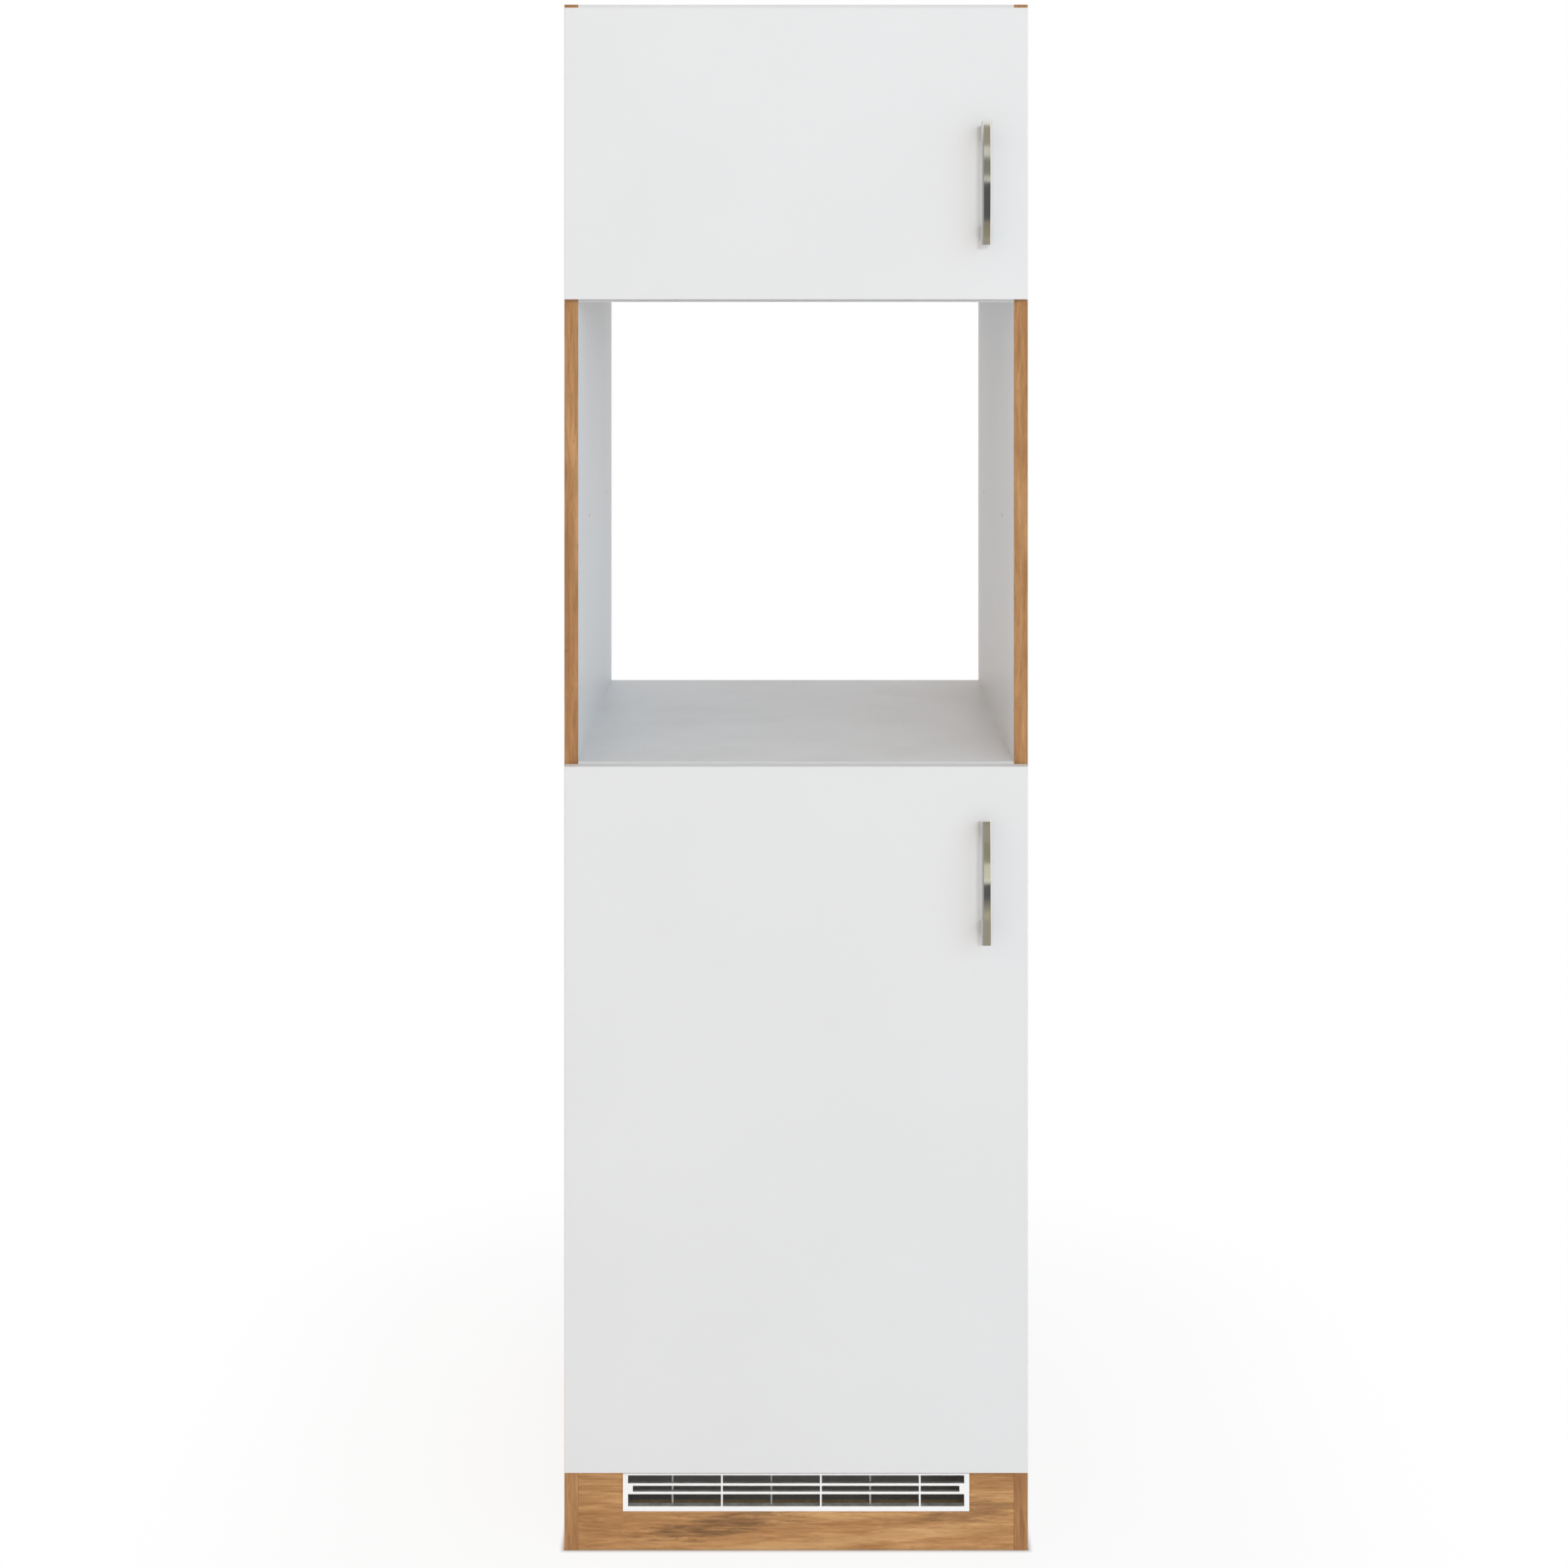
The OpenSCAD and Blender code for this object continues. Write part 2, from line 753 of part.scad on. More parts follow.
module wall_brackets() {
    color(STEEL) place() at_wall_brackets() difference() {
        union() {
            block([-bracket_w / 2, -bracket_leg, -bracket_t], [bracket_w / 2, 0, 0]);
            block([-bracket_w / 2, -bracket_t, -bracket_leg], [bracket_w / 2, 0, 0]);
        }
        translate([0, -bracket_t - past, wall_hole_z - top_under_z])
            along_y() cylinder(d = wall_hole_d, h = bracket_t + 2 * past, $fn = 32);
        translate([0, -bracket_screw_in, -bracket_t - past])
            cylinder(r = bracket_screw_r + clamp_play, h = bracket_t + 2 * past, $fn = 24);
    }
}

module wall_bracket_screws() {
    length = bracket_screw_len + bracket_t - screw_rest;
    color(STEEL) place() at_wall_brackets() translate([0, -bracket_screw_in, -bracket_t])
        rotate([180, 0, 0]) small_screw(bracket_screw_r, length, small_head_r, small_head_t);
}

// Doors. The hinge side is on the left, at -X

module door_board(z_low, z_high, hinge_zs, handle_z) {
    difference() {
        translate([0, 0, z_low]) linear_extrude(z_high - z_low) union() {
            translate([-door_x, door_front_y + door_r]) square([2 * door_x, door_t - 2 * door_r]);
            translate([-door_x + door_r, door_front_y]) square([2 * door_x - 2 * door_r, door_t]);
            for (x = [-door_x + door_r, door_x - door_r]) {
                for (y = [door_front_y + door_r, door_back_y - door_r]) {
                    translate([x, y]) circle(r = door_r, $fn = 32);
                }
            }
        }
        for (z = hinge_zs) {
            translate([cup_x, door_back_y - cup_deep - cup_rest, z])
                along_y() cylinder(d = cup_d, h = cup_deep + cup_rest + past, $fn = 64);
            at_cup_screws(z) translate([0, 0, -cup_screw_len - screw_rest])
                cylinder(r = cup_screw_r + fit_play, h = cup_screw_len + screw_rest + past, $fn = 24);
        }
        for (end = [-1, 1]) {
            translate([handle_x, door_front_y - past, handle_z + end * handle_holes / 2]) along_y()
                cylinder(d = handle_screw_d + 2 * handle_hole_play, h = door_t + 2 * past, $fn = 32);
        }
    }
}

// The seat of a cup screw's head; +Z points out of the door's back
module at_cup_screws(z) {
    for (end = [-1, 1]) {
        translate([cup_x + cup_screw_in, door_back_y, z + end * cup_screw_span / 2]) along_y() children();
    }
}

module upper_door_panel() {
    color(DOOR_WHITE) place() door_board(upper_door_z, upper_door_top, upper_hinge_z, upper_handle_z);
}

module lower_door_panel() {
    color(DOOR_WHITE) place() door_board(lower_door_z, lower_door_top, lower_hinge_z, lower_handle_z);
}

// A bow handle round the point [handle_x, door front, z]
module bow_handle(z) {
    half_len = handle_len / 2;
    bow_r = (pow(half_len, 2) + pow(bow_rise, 2)) / (2 * bow_rise);
    bow_angle = asin(half_len / bow_r);
    leg_out = handle_out - bar_t - bow_rise * leg_sunk;
    bevel_in = bar_bevel * bevel_slope;
    color(STEEL) place() translate([handle_x, door_front_y, z]) difference() {
        union() {
            translate([0, bow_r - handle_out, 0]) rotate([0, 90, 0]) rotate([0, 0, 270 - bow_angle])
                rotate_extrude(angle = 2 * bow_angle, $fn = 180) polygon([
                    [bow_r, handle_w / 2 - bar_bevel],
                    [bow_r - bevel_in, handle_w / 2],
                    [bow_r - bar_t, handle_w / 2],
                    [bow_r - bar_t, -handle_w / 2],
                    [bow_r - bevel_in, -handle_w / 2],
                    [bow_r, -handle_w / 2 + bar_bevel]
                ]);
            for (end = [-1, 1]) {
                translate([0, 0, end * handle_holes / 2])
                    block([-handle_w / 2, -leg_out, -leg_h / 2], [handle_w / 2, 0, leg_h / 2]);
            }
        }
        for (end = [-1, 1]) {
            translate([0, -handle_screw_in - screw_rest, end * handle_holes / 2])
                along_y() cylinder(d = handle_screw_d, h = handle_screw_in + screw_rest + past, $fn = 24);
        }
    }
}

module upper_handle() {
    bow_handle(upper_handle_z);
}

module lower_handle() {
    bow_handle(lower_handle_z);
}

module handle_screws(z) {
    color(STEEL) place() {
        for (end = [-1, 1]) {
            translate([handle_x, door_back_y, z + end * handle_holes / 2]) along_y()
                small_screw(handle_screw_d / 2 - fit_play, door_t + handle_screw_in,
                            handle_head_r, handle_head_t);
        }
    }
}

module upper_handle_screws() {
    handle_screws(upper_handle_z);
}

module lower_handle_screws() {
    handle_screws(lower_handle_z);
}

module door_bumpers(z_low, z_high) {
    color(PLASTIC) place() {
        for (z = [z_low + bumper_end, z_high - bumper_end]) {
            translate([(half_w + inner_x) / 2, door_back_y, z])
                along_y() cylinder(d = bumper_d, h = door_gap - bumper_play, $fn = 32);
        }
    }
}

module upper_door_bumpers() {
    door_bumpers(upper_door_z, upper_door_top);
}

module lower_door_bumpers() {
    door_bumpers(lower_door_z, lower_door_top);
}

// Cup hinges with one pin. The cup turns with the door, the arm stays on the side panel

module cup_rim() {
    union() {
        circle(r = cup_rim_r, $fn = 64);
        for (end = [-1, 1]) {
            translate([cup_screw_in, end * cup_screw_span / 2]) circle(r = cup_ear_r, $fn = 32);
        }
        translate([cup_screw_in - cup_ear_r, -cup_screw_span / 2]) square([2 * cup_ear_r, cup_screw_span]);
    }
}

// The two bosses that hold the ends of the pin, one on each side of the arm's knuckle
module pin_bosses() {
    inner = neck_w / 2 + boss_side_play;
    for (end = [-1, 1]) {
        translate([0, 0, end > 0 ? inner : -inner - cup_r])
            block([-cup_r, -cup_deep, 0],
                  [pin_x - cup_x + boss_r, boss_r - pin_deep, cup_r]);
    }
}

module hinge_cup(z) {
    difference() {
        translate([cup_x, door_back_y, z]) union() {
            difference() {
                union() {
                    translate([0, -cup_deep, 0]) along_y() cylinder(r = cup_r, h = cup_deep, $fn = 64);
                    translate([0, cup_rim_t, 0]) rotate([90, 0, 0]) linear_extrude(cup_rim_t) cup_rim();
                }
                translate([0, cup_wall - cup_deep, 0])
                    along_y() cylinder(r = cup_r - cup_wall, h = cup_deep + cup_rim_t, $fn = 64);
            }
            intersection() {
                translate([0, -cup_deep, 0]) along_y() cylinder(r = cup_r, h = cup_deep, $fn = 64);
                pin_bosses();
            }
        }
        at_cup_screws(z) translate([0, 0, -past])
            cylinder(r = cup_screw_r + clamp_play, h = cup_rim_t + 2 * past, $fn = 24);
        translate([pin_x, pin_y, z - cup_r])
            cylinder(r = pin_d / 2 + pin_seat_play, h = 2 * cup_r, $fn = 24);
    }
}

module hinge_cups(zs) {
    color(STEEL) place() {
        for (z = zs) {
            hinge_cup(z);
        }
    }
}

module cup_screws(zs) {
    color(STEEL) place() {
        for (z = zs) {
            at_cup_screws(z) translate([0, 0, cup_rim_t])
                small_screw(cup_screw_r, cup_screw_len + cup_rim_t, cup_head_r, cup_head_t);
        }
    }
}

module hinge_pins(zs) {
    color(ZINC) place() {
        for (z = zs) {
            translate([pin_x, pin_y, z - pin_half]) cylinder(d = pin_d, h = 2 * pin_half, $fn = 24);
        }
    }
}

// The arm's sheet seen from above: knuckle, neck, ramp and web
module arm_neck() {
    neck_x = side_face_x + arm_side_gap;
    translate([pin_x, pin_y]) circle(d = knuckle_d, $fn = 32);
    translate([pin_x, pin_y - arm_t / 2]) square([neck_x + arm_t - pin_x, arm_t]);
    translate([neck_x, pin_y - arm_t / 2]) square([arm_t, arm_ramp_y - pin_y + arm_t / 2]);
}

module arm_web() {
    neck_x = side_face_x + arm_side_gap;
    web_x = side_face_x + arm_high;
    polygon([
        [neck_x, arm_ramp_y - arm_ramp_lap],
        [neck_x + arm_t, arm_ramp_y - arm_ramp_lap],
        [web_x, arm_ramp_end],
        [web_x, arm_len],
        [web_x - arm_t, arm_len],
        [web_x - arm_t, arm_ramp_end + arm_ramp_lap],
        [neck_x, arm_ramp_y + arm_ramp_lap]
    ]);
}

module hinge_arm(z) {
    difference() {
        union() {
            translate([0, 0, z - neck_w / 2]) linear_extrude(neck_w) arm_neck();
            translate([0, 0, z - arm_w / 2]) linear_extrude(arm_w) arm_web();
            for (end = [-1, 1]) {
                translate([0, 0, z + end * (arm_w - arm_flange_t) / 2])
                    block([side_face_x + plate_t + hinge_seat_play, arm_ramp_end, -arm_flange_t / 2],
                          [side_face_x + arm_high - arm_t / 2, arm_len, arm_flange_t / 2]);
            }
        }
        translate([pin_x, pin_y, z - neck_w]) cylinder(r = pin_d / 2 + pin_play, h = 2 * neck_w, $fn = 24);
        for (y = arm_screw_ys) {
            translate([side_face_x + plate_t, y, z])
                along_x() cylinder(r = arm_screw_r + clamp_play, h = arm_high, $fn = 24);
        }
    }
}

module hinge_arms(zs) {
    color(STEEL) place() {
        for (z = zs) {
            hinge_arm(z);
        }
    }
}

module hinge_plates(zs) {
    boss_w = arm_w - 2 * (arm_flange_t + hinge_seat_play);
    boss_top = side_face_x + arm_high - arm_t - hinge_seat_play;
    color(STEEL) place() {
        for (z = zs) {
            difference() {
                union() {
                    block([side_face_x, plate_front, z - arm_w / 2],
                          [side_face_x + plate_t, plate_back, z + arm_w / 2]);
                    block([side_face_x, plate_screw_in - plate_wing_w / 2, z - plate_wing / 2],
                          [side_face_x + plate_t, plate_screw_in + plate_wing_w / 2, z + plate_wing / 2]);
                    block([side_face_x, plate_front, z - boss_w / 2],
                          [boss_top, plate_back, z + boss_w / 2]);
                }
                for (end = [-1, 1]) {
                    translate([side_face_x - past, plate_screw_in, z + end * plate_screw_span / 2])
                        along_x() cylinder(r = plate_screw_r + clamp_play, h = plate_t + 2 * past, $fn = 24);
                }
                for (y = arm_screw_ys) {
                    translate([side_face_x + arm_screw_stop, y, z])
                        along_x() cylinder(r = arm_screw_r + fit_play, h = arm_high, $fn = 24);
                }
            }
        }
    }
}

module plate_screws(zs) {
    color(STEEL) place() {
        for (z = zs) {
            for (end = [-1, 1]) {
                translate([side_face_x + plate_t, plate_screw_in, z + end * plate_screw_span / 2])
                    along_x() small_screw(plate_screw_r, plate_t + plate_screw_len - screw_rest,
                                          plate_head_r, plate_head_t);
            }
        }
    }
}

module arm_screws(zs) {
    color(STEEL) place() {
        for (z = zs) {
            for (y = arm_screw_ys) {
                translate([side_face_x + arm_high, y, z])
                    along_x() small_screw(arm_screw_r, arm_high - 2 * arm_screw_stop,
                                          arm_head_r, arm_head_t);
            }
        }
    }
}

module upper_hinge_cups() {
    hinge_cups(upper_hinge_z);
}

module upper_cup_screws() {
    cup_screws(upper_hinge_z);
}

module upper_hinge_pins() {
    hinge_pins(upper_hinge_z);
}

module upper_hinge_arms() {
    hinge_arms(upper_hinge_z);
}

module upper_hinge_plates() {
    hinge_plates(upper_hinge_z);
}

module upper_plate_screws() {
    plate_screws(upper_hinge_z);
}

module upper_arm_screws() {
    arm_screws(upper_hinge_z);
}

module lower_hinge_cups() {
    hinge_cups(lower_hinge_z);
}

module lower_cup_screws() {
    cup_screws(lower_hinge_z);
}

module lower_hinge_pins() {
    hinge_pins(lower_hinge_z);
}

module lower_hinge_arms() {
    hinge_arms(lower_hinge_z);
}

module lower_hinge_plates() {
    hinge_plates(lower_hinge_z);
}

module lower_plate_screws() {
    plate_screws(lower_hinge_z);
}

module lower_arm_screws() {
    arm_screws(lower_hinge_z);
}

side_panel_left();
side_panel_right();
side_band_left();
side_band_right();
top_panel();
niche_ceiling();
niche_floor();
bottom_panel();
panel_bands();
back_panel();
rear_rail();
plinth_board();
vent_grille();
plinth_brackets();
plinth_bracket_screws();
cam_locks();
cam_bolts();
dowels();
wall_brackets();
wall_bracket_screws();
upper_door_panel();
upper_handle();
upper_handle_screws();
upper_hinge_cups();
upper_cup_screws();
upper_hinge_pins();
upper_door_bumpers();
upper_hinge_arms();
upper_hinge_plates();
upper_plate_screws();
upper_arm_screws();
lower_door_panel();
lower_handle();
lower_handle_screws();
lower_hinge_cups();
lower_cup_screws();
lower_hinge_pins();
lower_door_bumpers();
lower_hinge_arms();
lower_hinge_plates();
lower_plate_screws();
lower_arm_screws();
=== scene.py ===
# %% [markdown]
# # A tall kitchen cabinet for a fridge and an oven
# The real piece stands two metres high and is made of 18 mm chipboard: oak decor outside, white inside,
# with two white doors, bow handles, an open niche for the oven and a plastic grille in the plinth.
# Its shape and size come from a measured model. This lesson gives it finishes, a camera and light.
# Starting from a measured model, rather than drawing the boards again here, keeps every screw and hinge
# where it belongs when the doors turn.

# %% Load the measured model
import math

import bmesh
import bpy
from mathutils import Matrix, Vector


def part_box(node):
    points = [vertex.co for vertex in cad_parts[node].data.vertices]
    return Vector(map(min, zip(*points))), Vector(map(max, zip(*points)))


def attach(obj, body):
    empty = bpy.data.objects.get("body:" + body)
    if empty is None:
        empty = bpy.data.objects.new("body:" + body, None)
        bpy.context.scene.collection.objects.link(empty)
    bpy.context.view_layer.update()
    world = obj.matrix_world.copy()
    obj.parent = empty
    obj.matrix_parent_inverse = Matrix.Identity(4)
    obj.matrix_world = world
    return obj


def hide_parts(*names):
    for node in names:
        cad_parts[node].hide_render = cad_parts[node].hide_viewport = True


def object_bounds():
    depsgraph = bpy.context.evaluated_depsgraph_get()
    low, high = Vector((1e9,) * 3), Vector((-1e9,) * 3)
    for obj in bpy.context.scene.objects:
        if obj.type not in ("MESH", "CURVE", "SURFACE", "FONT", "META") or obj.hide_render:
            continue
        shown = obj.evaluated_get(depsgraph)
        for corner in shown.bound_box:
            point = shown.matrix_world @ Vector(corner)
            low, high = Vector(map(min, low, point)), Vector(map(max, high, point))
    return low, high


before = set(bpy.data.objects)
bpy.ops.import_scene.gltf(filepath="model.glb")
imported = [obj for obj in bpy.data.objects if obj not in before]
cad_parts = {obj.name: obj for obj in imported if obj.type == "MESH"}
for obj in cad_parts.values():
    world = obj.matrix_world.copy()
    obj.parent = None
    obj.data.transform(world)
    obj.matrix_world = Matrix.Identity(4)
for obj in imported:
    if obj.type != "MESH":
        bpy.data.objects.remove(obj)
cad_low, cad_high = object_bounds()
print("boards and fittings:", len(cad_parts), "box:", tuple(cad_low), tuple(cad_high))

# %% [markdown]
# ## The camera
# The photograph looks at the cabinet squarely, with all its uprights parallel, as a camera does whose
# lens is shifted and not tilted. The niche's depth lines meet in one point, which gives the height of the
# lens, and the rate at which the niche narrows gives the distance. A tilted camera would be simpler,
# but it would make the uprights lean together.

# %% Place the camera by the picture
PICTURE = 1880                          # width and height of the picture, in its own pixels
MEETING_POINT = (946, 294)              # where the niche's depth lines meet
CABINET_MIDDLE = (954.5, 1858.5)        # middle of the cabinet where it stands on the floor
PIXELS_PER_METRE = 926.5                # in the plane of the side panels' front edges
FRONT = -0.2545                         # that plane, metres along Y
DISTANCE = 2.975                        # from the lens to that plane
FILM = 36.0                             # width of the film, millimetres

camera_data = bpy.data.cameras.new("camera")
camera = bpy.data.objects.new("camera", camera_data)
bpy.context.scene.collection.objects.link(camera)
bpy.context.scene.camera = camera
camera_data.sensor_width = FILM
camera_data.lens = FILM * PIXELS_PER_METRE * DISTANCE / PICTURE
camera_data.shift_x = (PICTURE / 2 - MEETING_POINT[0]) / PICTURE
camera_data.shift_y = (MEETING_POINT[1] - PICTURE / 2) / PICTURE
camera.location = (
    (MEETING_POINT[0] - CABINET_MIDDLE[0]) / PIXELS_PER_METRE,
    FRONT - DISTANCE,
    (CABINET_MIDDLE[1] - MEETING_POINT[1]) / PIXELS_PER_METRE,
)
camera.rotation_euler = (math.pi / 2, 0, 0)
print("lens", round(camera_data.lens, 2), "mm at", tuple(round(v, 3) for v in camera.location))

# %% [markdown]
# ## Small helpers for materials
# A material is a drawing of boxes and wires. Drawn by hand it is clear but slow; as code it is exact, but
# each box takes four lines. These helpers bring that down to one line for a box, so that the
# recipes below read like recipes.

# %% Boxes and wires
def wire(tree, value, socket):
    """Joins an output to a socket, or writes a plain value into it."""
    if isinstance(value, bpy.types.NodeSocket):
        tree.links.new(value, socket)
    else:
        socket.default_value = value


def box_of(tree, kind, choices=None, **inputs):
    """Adds a box of one kind. Choices are its own settings, inputs its sockets by name."""
    made = tree.nodes.new("ShaderNode" + kind)
    for name, value in (choices or {}).items():
        setattr(made, name, value)
    for name, value in inputs.items():
        wire(tree, value, made.inputs[name.replace("_", " ")])
    return made


def calc(tree, operation, *values, clamp=False):
    made = box_of(tree, "Math", {"operation": operation, "use_clamp": clamp})
    for value, socket in zip(values, made.inputs):
        wire(tree, value, socket)
    return made.outputs[0]


def between(tree, value, low, high, to_low=0.0, to_high=1.0):
    """Turns the range low..high into to_low..to_high, smoothly and clamped."""
    made = box_of(tree, "MapRange", {"interpolation_type": "SMOOTHSTEP"}, Value=value,
                  From_Min=low, From_Max=high, To_Min=to_low, To_Max=to_high)
    return made.outputs[0]


def blend(tree, factor, first, second, kind="MIX"):
    made = box_of(tree, "Mix", {"data_type": "RGBA", "blend_type": kind})
    for value, index in ((factor, 0), (first, 6), (second, 7)):
        wire(tree, value, made.inputs[index])
    return made.outputs[2]


def stretched(tree, vector, factors):
    made = box_of(tree, "VectorMath", {"operation": "MULTIPLY"})
    wire(tree, vector, made.inputs[0])
    wire(tree, factors, made.inputs[1])
    return made.outputs[0]


def noise(tree, vector, scale, detail=2.0, roughness=0.5, distortion=0.0):
    return box_of(tree, "TexNoise", None, Vector=vector, Scale=scale, Detail=detail,
                  Roughness=roughness, Distortion=distortion).outputs[0]


def ramp(tree, factor, *stops):
    """A colour ramp; each stop is a place from 0 to 1 and a colour."""
    made = box_of(tree, "ValToRGB", None, Fac=factor)
    band = made.color_ramp
    band.elements[0].position, band.elements[1].position = stops[0][0], stops[-1][0]
    for place, _ in stops[1:-1]:
        band.elements.new(place)
    for element, (_, colour) in zip(band.elements, stops):
        element.color = colour
    return made.outputs[0]


def grey_shade(tree, value):
    return box_of(tree, "CombineColor", None, Red=value, Green=value, Blue=value).outputs[0]


def rgb(red, green, blue):
    """A colour as a paint chart gives it, 0 to 255, in the linear values that light is reckoned in."""
    def linear(value):
        part = value / 255
        return part / 12.92 if part <= 0.04045 else ((part + 0.055) / 1.055) ** 2.4
    return (linear(red), linear(green), linear(blue), 1.0)


# %% Groups and materials
def new_effect(name, inputs, outputs):
    """Starts a node group with named sockets, and returns its tree, its inputs and its outlet."""
    tree = bpy.data.node_groups.new(name, "ShaderNodeTree")
    for kind, sockets in (("INPUT", inputs), ("OUTPUT", outputs)):
        for label, (socket_kind, default) in sockets.items():
            made = tree.interface.new_socket(name=label, in_out=kind,
                                             socket_type="NodeSocket" + socket_kind)
            if default is not None:
                made.default_value = default
    entry, outlet = tree.nodes.new("NodeGroupInput"), tree.nodes.new("NodeGroupOutput")
    return tree, entry.outputs, outlet.inputs


def use_effect(tree, effect, **inputs):
    made = tree.nodes.new("ShaderNodeGroup")
    made.node_tree = effect
    for name, value in inputs.items():
        wire(tree, value, made.inputs[name.replace("_", " ")])
    return made.outputs


def new_finish(name, **fixed):
    """A material with one shader. Numbers that are the same all over go on its own sockets."""
    finish = bpy.data.materials.new(name)
    finish.use_nodes = True
    tree = finish.node_tree
    shader = next(item for item in tree.nodes if item.type == "BSDF_PRINCIPLED")
    for label, value in fixed.items():
        shader.inputs[label.replace("_", " ")].default_value = value
    return finish, tree, shader.inputs


def bump(tree, shader, height, depth, strength=1.0):
    made = box_of(tree, "Bump", None, Height=height, Distance=depth, Strength=strength)
    wire(tree, made.outputs[0], shader["Normal"])


def own_place(tree):
    """Where a point lies on its own piece, in metres. It turns with a door, so no grain slides."""
    return box_of(tree, "TexCoord").outputs["Object"]


def own_facing(tree):
    return box_of(tree, "TexCoord").outputs["Normal"]


def split(tree, vector):
    return box_of(tree, "SeparateXYZ", None, Vector=vector).outputs


def dress(finish, *names):
    """Puts a finish into every material slot of the measured pieces."""
    for name in names:
        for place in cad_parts[name].material_slots:
            place.material = finish
    print(finish.name, "on", len(names), "pieces")


# %% [markdown]
# ## Effect: oak figure
# The oak here is a printed decor under melamine, as on most kitchens: soft clouds of honey and brown, short
# torn streaks, broad flame shapes where the trunk was cut near its side, fine fibres, short dark pores,
# small dark specks and a few knots. A photograph of a board would be quickest, but it repeats. Noise that
# is stretched along the grain never does, and one group serves the side panels, the edge bands and the
# plinth, each turned its own way. The group takes places whose X runs along the grain. Flame Curve and
# Flame Rise set how tight the flames are and how fast they follow each other.

# %% Effect: oak figure
oak_figure, given, out = new_effect(
    "oak_figure",
    {"Place": ("Vector", None), "Flame Curve": ("Float", 60.0), "Flame Rise": ("Float", 3.1),
     "Draw": ("Vector", (1.0, 1.0, 1.0))},
    {mark: ("Float", None) for mark in ("Cloud", "Streak", "Flame", "Fibre", "Pore", "Speck", "Knot")},
)
tree = oak_figure
knots = box_of(tree, "TexVoronoi", None, Vector=stretched(tree, given["Place"], (2.3, 5.5, 5.5)), Scale=1.0,
               Randomness=0.9).outputs["Distance"]
knot_pull = between(tree, knots, 0.02, 0.30, 1.0, 0.0)
sway = noise(tree, stretched(tree, given["Place"], (1.6, 5.0, 5.0)), 1.0, 3.0)
along, across, _ = split(tree, given["Place"])
bent = calc(tree, "ADD", across, calc(tree, "MULTIPLY", calc(tree, "SUBTRACT", sway, 0.5), 0.16))
rings = calc(tree, "MULTIPLY", calc(tree, "MULTIPLY", bent, bent), given["Flame Curve"])
rings = calc(tree, "ADD", rings, calc(tree, "MULTIPLY", along, given["Flame Rise"]))
rings = calc(tree, "ADD", rings, calc(tree, "MULTIPLY", knot_pull, 1.6))
wobble = noise(tree, stretched(tree, given["Place"], (9.0, 60.0, 60.0)), 1.0, 2.0)
rings = calc(tree, "FRACT", calc(tree, "ADD", rings, calc(tree, "MULTIPLY", wobble, 0.35)))
wire(tree, between(tree, rings, 0.35, 1.0), out["Flame"])
drawn = stretched(tree, given["Place"], given["Draw"])
wire(tree, noise(tree, stretched(tree, drawn, (3.2, 17.0, 17.0)), 1.0, 4.0, 0.55, 0.5), out["Cloud"])
wire(tree, noise(tree, stretched(tree, drawn, (15.0, 150.0, 150.0)), 1.0, 5.0, 0.66, 0.3), out["Streak"])
wire(tree, noise(tree, stretched(tree, given["Place"], (26.0, 850.0, 850.0)), 1.0, 2.0), out["Fibre"])
pores = noise(tree, stretched(tree, given["Place"], (48.0, 1500.0, 1500.0)), 1.0, 1.0)
wire(tree, between(tree, pores, 0.60, 0.70), out["Pore"])
specks = noise(tree, stretched(tree, given["Place"], (90.0, 210.0, 210.0)), 1.0, 3.0, 0.6)
wire(tree, between(tree, specks, 0.62, 0.74), out["Speck"])
wire(tree, between(tree, knots, 0.015, 0.07, 1.0, 0.0), out["Knot"])
print("effect:", oak_figure.name)

# %% [markdown]
# ## Effects: raw chipboard, foil texture, worn edges and dust
# Where a board is sawn and has no band, its chips show: flat slivers in every shade from straw to brown,
# which cells of random colour imitate well. White melamine and paint are never quite smooth, so they get
# a shallow peel. Metal and plastic catch light on their worn edges, which the difference between a
# rounded and a true normal finds. Dust lies only on what looks up.

# %% Effect: chipboard
chipboard, given, out = new_effect(
    "chipboard", {"Place": ("Vector", None), "Chips": ("Vector", (330.0, 330.0, 330.0))},
    {"Colour": ("Color", None), "Height": ("Float", None)})
tree = chipboard
chips = box_of(tree, "TexVoronoi", None, Vector=stretched(tree, given["Place"], given["Chips"]), Scale=1.0)
shade = split(tree, chips.outputs["Color"])[0]
colour = ramp(tree, shade, (0.0, rgb(118, 88, 58)), (0.35, rgb(168, 134, 94)), (0.7, rgb(196, 165, 122)),
              (1.0, rgb(216, 190, 150)))
grit = noise(tree, given["Place"], 1400.0, 2.0)
wire(tree, blend(tree, 0.5, colour, ramp(tree, grit, (0.3, rgb(120, 92, 62)), (0.7, rgb(214, 186, 146)))),
     out["Colour"])
wire(tree, calc(tree, "ADD", shade, grit), out["Height"])

# %% Effect: fine peel of foil, paint and moulded plastic
fine_peel, given, out = new_effect(
    "fine_peel", {"Place": ("Vector", None), "Fineness": ("Float", 900.0)},
    {"Height": ("Float", None), "Tone": ("Float", None)})
tree = fine_peel
wire(tree, noise(tree, given["Place"], given["Fineness"], 3.0, 0.55), out["Height"])
wire(tree, noise(tree, given["Place"], 3.5, 2.0), out["Tone"])

